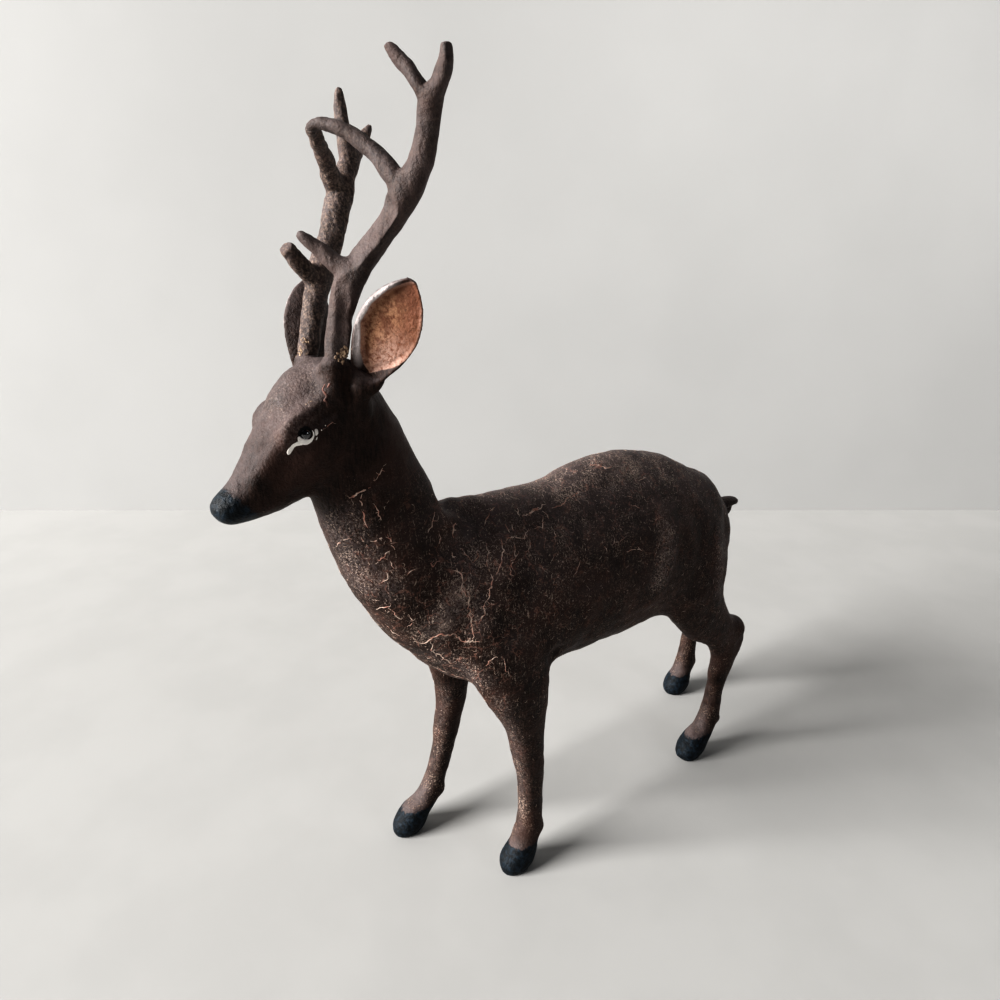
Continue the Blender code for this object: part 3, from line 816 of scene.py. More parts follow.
# The crease behind the jaw: its photograph pixels, lift and reach
JAW_CREASE_PIXELS = ((349.0, 497.0), (366.0, 490.0), (376.0, 483.0), (383.0, 474.0))
JAW_CREASE_LIFT = -0.5
JAW_CREASE_REACH = 2.2


def add_forms(piece, forms):
    """Lifts and sinks the skin along the forms, on both sides."""
    mesh = piece.data
    places, normals = places_of(mesh), normals_of(mesh)
    spots = in_carving(places)
    tree = tree_of(piece)
    lift = np.zeros(len(places))
    for height, radius, back, *pixels in forms:
        near = [to_carving(spot) for spot, _ in cast_pixels(tree, pixels)]
        far = [(-spot.x, spot.y + back, spot.z) for spot in near]
        for path in (near, far):
            lift += height * falloff(distance_to_path(spots, path), radius)
    set_places(mesh, places + normals * lift[:, None] * MM)


def ring_lift(away, form):
    lift, distance, reach = form
    return lift * falloff(np.abs(away - distance), reach)


def sculpt_head(piece):
    """Brows, eyelids and the crease behind the jaw."""
    mesh = piece.data
    places, normals = places_of(mesh), normals_of(mesh)
    spots = in_carving(places)
    lift = np.zeros(len(places))
    for side in (1, -1):
        eye = to_carving(eye_middle(side))
        bead = to_carving(bead_middle(side))
        brow = [eye + HEAD_ALONG * t + HEAD_ABOVE * (BROW_ABOVE - BROW_ARCH * t * t) for t in BROW_STEPS]
        lift += BROW_LIFT * falloff(distance_to_path(spots, brow), BROW_REACH)
        lift += ring_lift(np.linalg.norm(spots - np.array(eye), axis=1), EYE_HOLLOW)
        lift += ring_lift(np.linalg.norm(spots - np.array(bead), axis=1), EYE_LID)
    tree = tree_of(piece)
    crease = [np.array(to_carving(spot)) for spot, _ in cast_pixels(tree, JAW_CREASE_PIXELS)]
    for mirror in (1, -1):
        path = [(p[0] * mirror, p[1], p[2]) for p in crease]
        lift += JAW_CREASE_LIFT * falloff(distance_to_path(spots, path), JAW_CREASE_REACH)
    set_places(mesh, places + normals * lift[:, None] * MM)


# How far outside the paint of hooves and nose its depth is still told, in millimetres
PAINT_REACH = 10.0
# Dark line round each bead, wider above as painted lid shadow: its reach, how much wider above, its soft edge
EYE_LINE_REACH = 2.3
LID_SHADOW_RISE = 0.5
EYE_LINE_EDGE = 0.5
# Nothing behind this place belongs to the nose's paint
NOSE_BACK = -140
# Pale stippled patches, part worn paint, part painted light: photograph pixel and radius in millimetres
WORN_AND_PAINTED_LIGHT_PIXELS = (
    (665.0, 545.0, 15.0),
    (455.0, 598.0, 11.0),
    (440.0, 630.0, 10.0),
    (313.0, 401.0, 4.0),
    (620.0, 470.0, 24.0),
    (560.0, 500.0, 16.0),
    (415.0, 640.0, 12.0),
)
# How strongly the legs and the back half are worn
WORN_LEGS = 0.8
WORN_REAR = 0.3
# Hazy patches, part dust, part painted sheen: strength and radius in millimetres, then the pixels along each
HAZE_AND_SHEEN_PATCHES = (
    (1.7, 10.0, (478, 556), (470, 580), (462, 598)),
    (1.7, 9.0, (452, 612), (442, 622), (436, 632)),
    (1.2, 8.0, (478, 600), (477, 625)),
    (1.5, 11.0, (667, 525), (668, 552), (660, 580)),
    (1.2, 6.0, (719, 535), (720, 570), (717, 595)),
    (1.5, 12.0, (336, 528), (346, 552), (362, 580)),
    (1.1, 9.0, (350, 520), (370, 556), (390, 590)),
    (1.6, 12.0, (540, 490), (600, 472), (640, 466), (675, 474)),
    (1.0, 8.0, (470, 503), (500, 496), (535, 486)),
    (1.0, 8.0, (436, 655), (462, 668), (482, 682)),
    (0.9, 6.0, (500, 700), (514, 740), (521, 790), (520, 812)),
    (0.7, 6.0, (446, 690), (440, 740), (432, 780)),
    (1.7, 15.0, (300, 366), (290, 390), (280, 415)),
    (0.35, 30.0, (540, 540), (600, 540), (680, 600), (720, 640)),
)
# How thickly the fine cracks lie everywhere, and how that changes on legs, chest, back, haze and sheen, and
# head
CRACKLE_BASE = 0.25
CRACKLE_LEGS = -0.15
CRACKLE_CHEST = 0.7
CRACKLE_BACK = 0.65
CRACKLE_HAZE_AND_SHEEN = 0.3
CRACKLE_HEAD = -0.96
CHEST_MIDDLE = (8.0, -70.0, 130.0)
CHEST_REACH = 60.0


def hoof_depth(spots):
    """How far each place is inside the hooves' paint, in millimetres."""
    hoof = np.full(len(spots), -PAINT_REACH)
    for (x, y), front, back in HOOVES:
        behind = np.clip((spots[:, 1] - y) / HOOF_HALF_LENGTH, -1, 1) / 2 + 0.5
        height = front + (back - front) * behind
        near = np.hypot(spots[:, 0] - x, spots[:, 1] - y) < HOOF_REACH
        hoof = np.where(near, np.maximum(hoof, height - spots[:, 2]), hoof)
    return hoof


def eye_line_and_lid_shadow_share(spots):
    """1 in the dark line round each bead, with its painted lid shadow above, and 0 outside it."""
    line = np.zeros(len(spots))
    for side in (1, -1):
        offset = spots - np.array(to_carving(bead_middle(side)))
        above = offset @ np.array(HEAD_ABOVE)
        reach = EYE_LINE_REACH + LID_SHADOW_RISE * np.clip(above / 2.0, -1, 1)
        away = np.linalg.norm(offset, axis=1)
        line = np.maximum(line, np.clip((reach - away) / EYE_LINE_EDGE, -1, 1))
    return line


def nose_depth(tree, spots):
    """How far each place is past the edge of the nose's paint, in millimetres."""
    edge = [np.array(to_carving(spot)) for spot, _ in cast_pixels(tree, NOSE_EDGE_PIXELS)]
    top, bottom = edge[0], edge[-1]
    across = np.array((0.0, bottom[2] - top[2], -(bottom[1] - top[1])))
    across /= np.linalg.norm(across)
    if across @ np.array(HEAD_ALONG) < 0:
        across = -across
    middle = np.mean(edge, axis=0)
    return np.where(spots[:, 1] < NOSE_BACK, (spots - middle) @ across, -PAINT_REACH)


def worn_and_painted_light_share(tree, spots):
    """How far the paint is rubbed thin: low down, towards the rear and in patches that are partly painted
    light.
    """
    worn = WORN_LEGS * rise(spots[:, 2], 70, -50)
    worn = np.maximum(worn, WORN_REAR * rise(spots[:, 1], -75, 30))
    for x, y, radius in WORN_AND_PAINTED_LIGHT_PIXELS:
        spot = np.array(to_carving(cast_pixels(tree, [(x, y)])[0][0]))
        worn = np.maximum(worn, falloff(np.linalg.norm(spots - spot, axis=1), radius))
    return worn


def haze_and_sheen_share(tree, spots):
    """How hazy each place is, partly dust and partly painted sheen, the same on both sides."""
    haze = np.zeros(len(spots))
    for share, radius, *pixels in HAZE_AND_SHEEN_PATCHES:
        path = [to_carving(spot) for spot, _ in cast_pixels(tree, pixels)]
        for mirror in (1, -1):
            away = distance_to_path(spots, [(mirror * p.x, p.y, p.z) for p in path])
            haze = np.maximum(haze, share * falloff(away, radius))
    return haze


def crackle_share(spots, haze, bare):
    """How thickly the fine cracks lie, from 0 to 1."""
    legs = rise(spots[:, 2], 90, -30)
    chest = falloff(np.linalg.norm(spots - np.array(CHEST_MIDDLE), axis=1), CHEST_REACH)
    back = rise(spots[:, 2], 135, 20) * rise(spots[:, 1], -40, 30)
    head = np.maximum(rise(spots[:, 2], 172, 14), rise(spots[:, 1], -116, -8))
    crackle = CRACKLE_BASE + CRACKLE_LEGS * legs + CRACKLE_CHEST * chest + CRACKLE_BACK * back
    crackle = (crackle + CRACKLE_HAZE_AND_SHEEN * haze) * (1 + CRACKLE_HEAD * head)
    return np.where(bare, 0.0, np.clip(crackle, 0, 1))


def mark_skin(piece):
    """Marks hooves, nose, eye lines with their lid shadow, worn and hazy patches partly painted light, and
    fine cracks.
    """
    spots = in_carving(places_of(piece.data))
    tree = tree_of(piece)
    hoof, nose, haze = hoof_depth(spots), nose_depth(tree, spots), haze_and_sheen_share(tree, spots)
    set_attribute(piece, "hoof", np.clip(hoof, -PAINT_REACH, PAINT_REACH))
    set_attribute(piece, "eye_line", eye_line_and_lid_shadow_share(spots))
    set_attribute(piece, "nose", np.clip(nose, -PAINT_REACH, PAINT_REACH))
    set_attribute(piece, "worn", worn_and_painted_light_share(tree, spots))
    set_attribute(piece, "haze", haze)
    set_attribute(piece, "crackle", crackle_share(spots, haze, (hoof > -1.0) | (nose > -1.0)))


def keep_in_box(piece):
    """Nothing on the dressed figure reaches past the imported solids."""
    low, high = (np.array(corner) for corner in CAD_BOX)
    set_places(piece.data, np.clip(places_of(piece.data), low, high))


def roughen(piece, layers, seed, stretch=(1.0, 1.0, 1.0)):
    """Uneven hand-modelled surface: layers of (size, height) in metres, drawn out along the small axes."""
    mesh = piece.data
    places, normals = places_of(mesh), normals_of(mesh)
    drawn = places * np.array(stretch)
    lift = sum(height * bump_field(drawn, size, seed + n) for n, (size, height) in enumerate(layers))
    set_places(mesh, places + normals * lift[:, None])


# The uneven surface of skin, ears, tail and glue: size and height of each layer, in metres
SKIN_LAYERS = ((0.015, 0.00022), (0.006, 0.00012), (0.0030, 0.00005))
EAR_LAYERS = ((0.006, 0.00010), (0.0022, 0.00004))
TAIL_LAYERS = ((0.005, 0.00012), (0.002, 0.00005))
GLUE_LAYERS = ((0.0020, 0.00016), (0.0009, 0.00010))
# The same for the antlers, whose last layer is a size alone, as its height differs between them
ANTLER_LAYERS = ((0.006, 0.00022), (0.0035, 0.00012))
ANTLER_PIT_SIZE = 0.0014
ANTLER_STRETCH = (1.0, 1.0, 0.3)


def make_skin(sizes, look):
    piece = node_copy("body", "skin", close_sockets)
    reskin(piece, sizes.skin_grid)
    smooth(piece, 30)
    add_forms(piece, BODY_FORMS)
    spots = in_carving(places_of(piece.data))
    sink = RUMP_SINK * falloff(distance_to_path(spots, RUMP_TOP), RUMP_REACH)
    set_places(piece.data, places_of(piece.data) - normals_of(piece.data) * sink[:, None] * MM)
    smooth(piece, 6, falloff(distance_to_path(spots, NECK_FOOT), NECK_FOOT_REACH))
    refine_head(piece)
    smooth(piece, 4)
    add_forms(piece, HEAD_FORMS)
    smooth(piece, 1)
    sculpt_head(piece)
    smooth(piece, 1)
    roughen(piece, SKIN_LAYERS, seed=3)
    keep_in_box(piece)
    mark_skin(piece)
    return finish_piece(piece, "body", skin_paint(look))


# Antlers, ears, tail, eyes


# Small corrections of the near antler: how far around, which way, then places, in carving millimetres
ANTLER_SHIFTS = (
    (4.5, (0.0, 0.0, -0.9), (35.4, -100.2, 286.8), (37.0, -99.2, 286.8)),
    (4.0, (-0.4, -0.5, -0.6), (31.6, -100.2, 289.6), (33.6, -100.2, 287.6)),
    (4.0, (0.5, 0.7, -0.4), (37.9, -98.7, 291.5), (37.4, -98.9, 288.5)),
    (
        5.0, (1.5, 2.0, -0.8),
        (23.4, -108.0, 257.5), (21.2, -110.9, 252.5), (18.6, -115.2, 247.2), (17.9, -116.2, 246.0),
    ),
    (3.5, (0.7, 0.9, 0.0), (15.0, -117.2, 226.2), (14.2, -117.3, 220.0)),
    (
        2.6, (-0.7, 0.5, 0.0),
        (17.3, -118.3, 238.5), (16.6, -118.4, 232.0), (15.3, -118.6, 226.0), (14.5, -118.8, 220.0),
    ),
)
# How much thicker the near antler's top prongs are on each side, and where that starts and how it grows
ANTLER_TOP_SWELL = 0.55
ANTLER_TOP = 258
ANTLER_TOP_RUN = 16
# Each antler: how sandy its paint is, the depth of its pits in metres and its seed
ANTLERS = (("antler_left", 0.15, 0.00005, 11), ("antler_right", 0.8, 0.00012, 17))


def make_antlers(sizes, look):
    material = antler_paint(look)
    for name, sandy, pits, seed in ANTLERS:
        near = name == "antler_left"
        piece = node_copy(name, name + "_horn")
        reskin(piece, sizes.antler_grid)
        smooth(piece, 16)
        for radius, shift, *path in ANTLER_SHIFTS if near else ():
            spots = in_carving(places_of(piece.data))
            share = falloff(distance_to_path(spots, [*path, np.array(path[-1]) + 0.01]), radius)
            set_places(piece.data, places_of(piece.data) + np.outer(share, shift) * MM)
        if near:
            heights = in_carving(places_of(piece.data))[:, 2]
            thick = ANTLER_TOP_SWELL * rise(heights, ANTLER_TOP, ANTLER_TOP_RUN)
            flat = normals_of(piece.data) * (1, 1, 0)
            set_places(piece.data, places_of(piece.data) + flat * thick[:, None] * MM)
        roughen(piece, (*ANTLER_LAYERS, (ANTLER_PIT_SIZE, pits)), seed, ANTLER_STRETCH)
        keep_in_box(piece)
        set_attribute(piece, "sandy", np.full(len(piece.data.vertices), sandy))
        finish_piece(piece, name, material)


# The edge of the near ear's painted hollow, in photograph pixels round it from its lower point
HOLLOW_PIXELS = (
    (367.5, 376.5),
    (361.5, 367.0),
    (359.5, 354.0),
    (361.0, 322.0),
    (372.0, 303.0),
    (389.0, 289.0),
    (409.0, 282.5),
    (419.0, 283.5),
    (423.5, 300.0),
    (422.5, 322.0),
    (419.5, 342.0),
    (411.0, 357.0),
    (393.5, 368.5),
)
# Which of them lies on the ear's fore side
FORE_PIXEL = 3
# How much of the hollow's depth is filled, how far the fore lip stands up and how deep the floor lies
HOLLOW_FILL = 0.85
LIP_HEIGHT = 1.3
HOLLOW_RECESS = 0.45
# Distances from the hollow's edge, in millimetres: the zone that sets the level of its rim, and how far in
# the filling, the recess and the lip reach, with the lip's outer side
EDGE_ZONE = 0.6
FILL_RUN = 2.0
RECESS_RUN = 0.9
LIP_INSIDE = 1.0
LIP_OUTSIDE = 2.6
# How far outside the hollow its depth is still told
HOLLOW_REACH = 4.0


def hollow_outline():
    """The hollow's edge as distances along and across the near ear."""
    root, _, along, across, out = ear_axes(EARS["ear_left"])
    outline = []
    for x, y in HOLLOW_PIXELS:
        start, way = pixel_ray(x, y)
        start, way = np.array(to_carving(start)), np.array(way)
        spot = start + way * (((root - start) @ out) / (way @ out)) - root
        outline.append((spot @ along, spot @ across))
    return np.array(outline)


def depth_inside(points, outline):
    """Signed distance of flat points to a closed outline, positive inside."""
    best = np.full(len(points), np.inf)
    inside = np.zeros(len(points), bool)
    for a, b in zip(outline, np.roll(outline, -1, axis=0)):
        edge = b - a
        share = np.clip(((points - a) @ edge) / (edge @ edge), 0, 1)
        best = np.minimum(best, np.linalg.norm(points - a - share[:, None] * edge, axis=1))
        crosses = (a[1] > points[:, 1]) != (b[1] > points[:, 1])
        rise = b[1] - a[1] if b[1] != a[1] else 1e-9
        inside ^= crosses & (points[:, 0] < edge[0] * (points[:, 1] - a[1]) / rise + a[0])
    return np.where(inside, best, -best)


def make_ears(sizes, look):
    material = ear_paint(look)
    outline = hollow_outline()
    for name, turn in (("ear_left", 1), ("ear_right", -1)):
        root, length, along, across, out = ear_axes(EARS[name])
        piece = node_copy(name, name + "_leaf")
        reskin(piece, sizes.ear_grid)
        smooth(piece, 8)
        mesh = piece.data
        spots = in_carving(places_of(mesh)) - root
        flat = np.stack((spots @ along, spots @ across * turn), axis=1)
        depth = depth_inside(flat, outline)
        front = np.clip(normals_of(mesh) @ out * 4 + 0.4, 0, 1)
        depth = np.where(front > 0, depth, -HOLLOW_REACH)
        share = flat[:, 0] / length
        fore = flat[:, 1] * np.sign(outline[FORE_PIXEL][1])
        rim_side = rise(fore, 2.0, 3)
        height = spots @ out
        edge = np.abs(depth) < EDGE_ZONE
        terms = np.stack((np.ones(len(flat)), flat[:, 0], flat[:, 1], flat[:, 0] ** 2), axis=1)
        level = terms @ np.linalg.lstsq(terms[edge], height[edge], rcond=None)[0]
        filled = HOLLOW_FILL * rise(depth, 0, FILL_RUN) * np.clip(level - height, 0, None)
        lip = LIP_HEIGHT * rim_side * np.clip(1 + depth / LIP_OUTSIDE, 0, 1)
        lip = lip * np.clip(1 - depth / LIP_INSIDE, 0, 1)
        recess = HOLLOW_RECESS * rise(depth, 0, RECESS_RUN)
        set_places(mesh, places_of(mesh) + np.outer((filled + lip - recess) * front * MM, out))
        smooth(piece, 2)
        roughen(piece, EAR_LAYERS, seed=23)
        keep_in_box(piece)
        set_attribute(piece, "hollow", spread(mesh, np.clip(depth, -HOLLOW_REACH, HOLLOW_REACH), 1))
        set_attribute(piece, "low_side", rise(share, 0.62, -0.3) * rise(fore, 3.0, -5))
        # Painted shade on the far side and the top of the hollow
        set_attribute(piece, "deep_side", rise(share, 0.72, 0.2) + rise(fore, 0.5, -4))
        # The fore side, which raises the lip and carries the rim's painted highlight
        set_attribute(piece, "rim_side", rim_side)
        finish_piece(piece, name, material)


def make_tail(sizes, look):
    piece = node_copy("tail", "tail_leaf")
    reskin(piece, sizes.ear_grid)
    smooth(piece, 10)
    roughen(piece, TAIL_LAYERS, seed=31)
    keep_in_box(piece)
    finish_piece(piece, "tail", tail_paint(look))


# The visible bead is smaller than the socket it fills and sits a little further back
BEAD_SHARE = 0.77
BEAD_SHIFT = (0.15, 0.6, 0.1)
# How flat a bead is across, and where its painted reflection starts above its middle, as shares of its radius
BEAD_FLATNESS = 0.96
REFLECTION_START = 0.80
REFLECTION_RUN = 0.08


def bead_middle(side):
    x, y, z = BEAD_SHIFT
    return eye_middle(side) + Vector((x * side, y, z)) * MM


def make_eyes(sizes, look):
    """Domed beads, a little flatter across than round, with the upper outer edge marked for a painted grey
    reflection.
    """
    material = eye_gloss(look)
    for side, name in ((1, "eye_left"), (-1, "eye_right")):
        low, high = (Vector(corner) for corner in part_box(name))
        radius = (high - low).length / 2 / 3**0.5 * BEAD_SHARE
        bm = bmesh.new()
        add_ellipsoid(bm, bead_middle(side), (radius, radius, radius * BEAD_FLATNESS), outward(side))
        bmesh.ops.subdivide_edges(bm, edges=bm.edges, cuts=1, use_grid_fill=True, smooth=1.0)
        bmesh.ops.recalc_face_normals(bm, faces=bm.faces)
        mesh = mesh_from(bm, name)
        piece = link_piece(name + "_bead", mesh)
        offset = (places_of(mesh) - np.array(bead_middle(side))) / radius
        above = offset @ np.array(HEAD_ABOVE)
        outer = offset @ np.array(outward(side))
        # Painted reflection: marks the grey on each bead's upper outer edge
        set_attribute(piece, "upper", rise(above, REFLECTION_START, REFLECTION_RUN) * rise(outer, 0, 0.3))
        finish_piece(piece, name, material)


# Paint strokes round the eyes

# Strokes of pale paint: photograph pixels along each, with its half width in millimetres there
EYE_STROKES = (
    (
        (298.4, 436.6, 0.40),
        (300.2, 440.0, 0.78),
        (303.0, 441.6, 0.96),
        (306.5, 441.9, 0.88),
        (309.8, 440.9, 0.64),
        (312.2, 438.7, 0.40),
        (313.5, 436.0, 0.26),
        (313.6, 433.2, 0.20),
        (312.2, 430.4, 0.12),
    ),
    (
        (303.0, 443.2, 0.80),
        (298.5, 443.4, 0.88),
        (294.8, 445.0, 0.82),
        (291.8, 447.6, 0.82),
        (290.0, 450.4, 0.76),
        (288.8, 452.8, 0.62),
        (288.4, 454.6, 0.36),
    ),
    ((315.0, 429.2, 0.42), (316.2, 430.8, 0.74), (316.5, 433.2, 0.64), (315.8, 435.6, 0.26)),
    ((317.2, 437.0, 0.16), (316.6, 438.8, 0.22), (316.0, 440.0, 0.14)),
    ((321.3, 429.6, 0.26), (321.7, 430.6, 0.22)),
    ((325.0, 425.0, 0.20), (325.6, 426.0, 0.16)),
)
STROKE_HEIGHT = 0.14
STROKE_SPACING = 0.12
# The round of a stroke's ridge: degrees from its crest
STROKE_ANGLES = (-115, -75, -40, 0, 40, 75, 115, 180)


def stroke_mesh(bm, tree, spots, widths):
    """A low rounded ridge of paint that follows the skin."""
    chain = smooth_chain([(*spot, width * MM) for spot, width in zip(spots, widths)], STROKE_SPACING * MM)
    found = [tree.find_nearest(Vector(row[:3])) for row in chain]
    rows = []
    for n, row in enumerate(chain):
        spot = found[n][0]
        near = found[max(n - 4, 0) : n + 5]
        normal = sum((hit[1] for hit in near), Vector()).normalized()
        ahead = Vector(chain[min(n + 1, len(chain) - 1)][:3]) - Vector(chain[max(n - 1, 0)][:3])
        side = normal.cross(ahead).normalized()
        ends = min(n, len(chain) - 1 - n) / 3
        half = row[3] * min(1.0, 0.5 + ends)
        ring = []
        for angle in STROKE_ANGLES:
            a = math.radians(angle)
            crest = normal * STROKE_HEIGHT * MM * math.cos(a)
            ring.append(bm.verts.new(spot + side * half * math.sin(a) + crest))
        rows.append(ring)
    for a, b in zip(rows, rows[1:]):
        for k in range(len(a)):
            j = (k + 1) % len(a)
            bm.faces.new((a[k], a[j], b[j], b[k]))
    for ring in (rows[0], rows[-1]):
        bm.faces.new(ring)


def make_eye_paint(sizes, look):
    tree = tree_of(bpy.data.objects["skin"])
    bm = bmesh.new()
    for stroke in EYE_STROKES:
        spots = [spot for spot, _ in cast_pixels(tree, [row[:2] for row in stroke])]
        widths = [row[2] for row in stroke]
        stroke_mesh(bm, tree, spots, widths)
        stroke_mesh(bm, tree, [mirrored(spot) for spot in spots], widths)
    bmesh.ops.recalc_face_normals(bm, faces=bm.faces)
    piece = link_piece("eye_rims", mesh_from(bm, "eye_rims"))
    finish_piece(piece, None, eye_white(look))


# Cracks

# The wide reddish cracks of chest, shoulder and ear: a width in millimetres, then photograph pixels
RED_CRACKS = (
    (0.85, (414, 641), (420, 643), (427, 642), (430, 639), (434, 637), (438, 636), (442, 634),
     (449, 635), (455, 634)),
    (0.75, (455, 634), (458, 638), (462, 641), (469, 642), (475, 641), (480, 642)),
    (0.50, (430, 640), (432, 645), (433, 651), (438, 654), (445, 659), (452, 664)),
    (0.55, (470, 610), (471, 620), (472, 629), (473, 636), (473, 641)),
    (0.60, (491, 574), (492, 580), (491, 586), (490, 590), (489, 596), (486, 601)),
    (0.90, (456, 523), (454, 526), (452, 532), (454, 538)),
)
# The dull red seam where the ear is joined on, in the same way
SEAM_CRACKS = (
    (0.8, (325, 384), (324, 388), (323, 392)),
    (1.3, (323, 391), (325, 396), (324, 400), (327, 404), (328, 408)),
    (0.6, (333, 380), (330, 384), (327, 388)),
)
# The pale narrow ones, in the same way; the last is a painted highlight along the chest's lower edge
PALE_CRACKS_AND_EDGE_HIGHLIGHT = (
    (0.45, (435, 512), (433, 518), (431, 527), (428, 533)),
    (0.40, (439, 533), (441, 538), (438, 545)),
    (0.60, (452, 552), (455, 558)),
    (0.35, (430, 563), (433, 566), (437, 562), (440, 561)),
    (0.60, (453, 571), (456, 571), (460, 573), (462, 578), (463, 583), (461, 588)),
    (0.50, (461, 588), (464, 592), (468, 596), (469, 603), (468, 608), (470, 610), (468, 616), (469, 620)),
    (0.55, (489, 512), (486, 519), (484, 526)),
    (0.40, (495, 507), (490, 511)),
    (0.40, (461, 548), (464, 553), (468, 558), (472, 561)),
    (0.45, (478, 546), (477, 551), (478, 556), (474, 561), (472, 563)),
    (0.45, (486, 543), (487, 549), (489, 553), (487, 560), (488, 566), (490, 572)),
    (0.45, (486, 601), (484, 607), (485, 612), (481, 618), (479, 624)),
    (0.45, (501, 538), (502, 545), (504, 550), (502, 553), (502, 560), (500, 567), (497, 571), (496, 575)),
    (0.50, (506, 543), (507, 539), (511, 537), (515, 538), (520, 538), (525, 538), (526, 533), (529, 529)),
    (0.50, (513, 541), (515, 548), (514, 553), (516, 556), (519, 553)),
    (0.50, (516, 556), (514, 560), (512, 565), (511, 572), (508, 579)),
    (0.50, (517, 508), (518, 513), (520, 516)),
    (0.50, (522, 516), (527, 513), (531, 513), (535, 509), (540, 508), (545, 504)),
    (0.40, (505, 524), (508, 529), (510, 533)),
    (0.40, (512, 524), (514, 531)),
    (0.30, (529, 538), (530, 545), (529, 552), (530, 558)),
    (0.35, (486, 601), (490, 604), (494, 604), (500, 607)),
    (0.40, (385, 624), (391, 630), (397, 635), (403, 636)),
    (0.40, (374, 609), (380, 608), (388, 607), (391, 604)),
    (0.45, (388, 608), (392, 610), (395, 615), (402, 619)),
    (0.40, (408, 614), (411, 618), (413, 622), (407, 627)),
    (0.35, (410, 636), (414, 638), (417, 642), (420, 647)),
    (0.35, (418, 630), (422, 636)),
    (0.35, (486, 666), (490, 660), (497, 657)),
    (0.35, (504, 658), (505, 665), (508, 672), (509, 676)),
    (0.45, (336, 547), (341, 543), (347, 539), (352, 539)),
    (0.35, (361, 538), (365, 543), (366, 548)),
    (0.50, (370, 541), (377, 540), (382, 538), (386, 534)),
    (0.45, (386, 537), (390, 540), (392, 546), (395, 550)),
    (0.40, (390, 551), (386, 554), (383, 558), (378, 561)),
    (0.35, (390, 558), (390, 564), (394, 568), (397, 571)),
    (0.50, (362, 511), (365, 516), (366, 522), (368, 528)),
    (0.40, (374, 504), (377, 510), (379, 515), (381, 522)),
    (0.35, (386, 572), (389, 576), (388, 579), (381, 583)),
    (0.35, (407, 575), (411, 571), (416, 569)),
    (0.60, (590, 465), (596, 465), (601, 466), (606, 468), (612, 466)),
    (0.50, (552, 508), (558, 506), (563, 504), (566, 501), (568, 497)),
    (0.50, (530, 514), (536, 510), (541, 509)),
    (0.45, (542, 511), (547, 515), (549, 519)),
    (0.45, (543, 516), (543, 522), (542, 529)),
    (0.40, (534, 529), (538, 527), (543, 528)),
    (0.45, (631, 505), (637, 507), (640, 508)),
    (0.35, (627, 496), (633, 498)),
    (0.40, (604, 546), (607, 551)),
    (0.30, (611, 545), (618, 542), (622, 540), (626, 537)),
    (0.35, (625, 550), (630, 551), (636, 549), (643, 550)),
    (0.40, (581, 560), (579, 566), (576, 572), (574, 577)),
    (0.40, (650, 521), (655, 520), (658, 518)),
    (0.40, (639, 481), (643, 478), (648, 477)),
    (0.40, (636, 531), (640, 536)),
    (0.45, (571, 498), (575, 494), (580, 494)),
    (0.35, (554, 530), (555, 536), (554, 542)),
    (0.60, (349, 498), (354, 496), (360, 492), (366, 490), (371, 487)),
    (0.50, (374, 481), (378, 478), (381, 472), (383, 466)),
    (0.40, (362, 494), (361, 500), (362, 506)),
    (0.35, (322, 430), (326, 426), (333, 422)),
    # Painted highlight: the pale line where the chest's lower edge catches the light
    (0.55, (433, 666.5), (440, 669.5), (447, 672.5), (455, 675.5), (462, 678)),
)
# How far back and down the same cracks lie on the far side
FAR_SHIFT = (0.0, 8.0, -5.0)


def path_tree(name):
    """Geometry Nodes: a thin tube along each chain of edges, as thick as its own attribute says."""
    tree = bpy.data.node_groups.new(name, "GeometryNodeTree")
    face = tree.interface
    face.new_socket("Geometry", in_out="INPUT", socket_type="NodeSocketGeometry")
    face.new_socket("Sides", in_out="INPUT", socket_type="NodeSocketInt")
    face.new_socket("Material", in_out="INPUT", socket_type="NodeSocketMaterial")
    face.new_socket("Geometry", in_out="OUTPUT", socket_type="NodeSocketGeometry")
    make, wire = tree.nodes.new, tree.links.new
    source, result = make("NodeGroupInput"), make("NodeGroupOutput")
    curve = make("GeometryNodeMeshToCurve")
    wire(source.outputs["Geometry"], curve.inputs["Mesh"])
    finish_tubes(tree, curve.outputs["Curve"], source, result, named_value(tree, "thickness"))
    return tree


def named_value(tree, name):
    node = tree.nodes.new("GeometryNodeInputNamedAttribute")
    node.data_type = "FLOAT"
    node.inputs["Name"].default_value = name
    return node.outputs["Attribute"]


def finish_tubes(tree, curve, source, result, radius):
    """Curves to tubes of this radius, realized and with the material set."""
    make, wire = tree.nodes.new, tree.links.new
    sized = make("GeometryNodeSetCurveRadius")
    wire(curve, sized.inputs["Curve"])
    wire(radius, sized.inputs["Radius"])
    profile = make("GeometryNodeCurvePrimitiveCircle")
    profile.inputs["Radius"].default_value = 1.0
    wire(source.outputs["Sides"], profile.inputs["Resolution"])
    tube = make("GeometryNodeCurveToMesh")
    tube.inputs["Fill Caps"].default_value = True
    wire(sized.outputs["Curve"], tube.inputs["Curve"])
    wire(profile.outputs["Curve"], tube.inputs["Profile Curve"])
    if "Scale" in tube.inputs:
        wire(make("GeometryNodeInputRadius").outputs["Radius"], tube.inputs["Scale"])
    realized, painted = make("GeometryNodeRealizeInstances"), make("GeometryNodeSetMaterial")
    wire(tube.outputs["Mesh"], realized.inputs["Geometry"])
    wire(realized.outputs["Geometry"], painted.inputs["Geometry"])
    wire(source.outputs["Material"], painted.inputs["Material"])
    wire(painted.outputs["Geometry"], result.inputs["Geometry"])


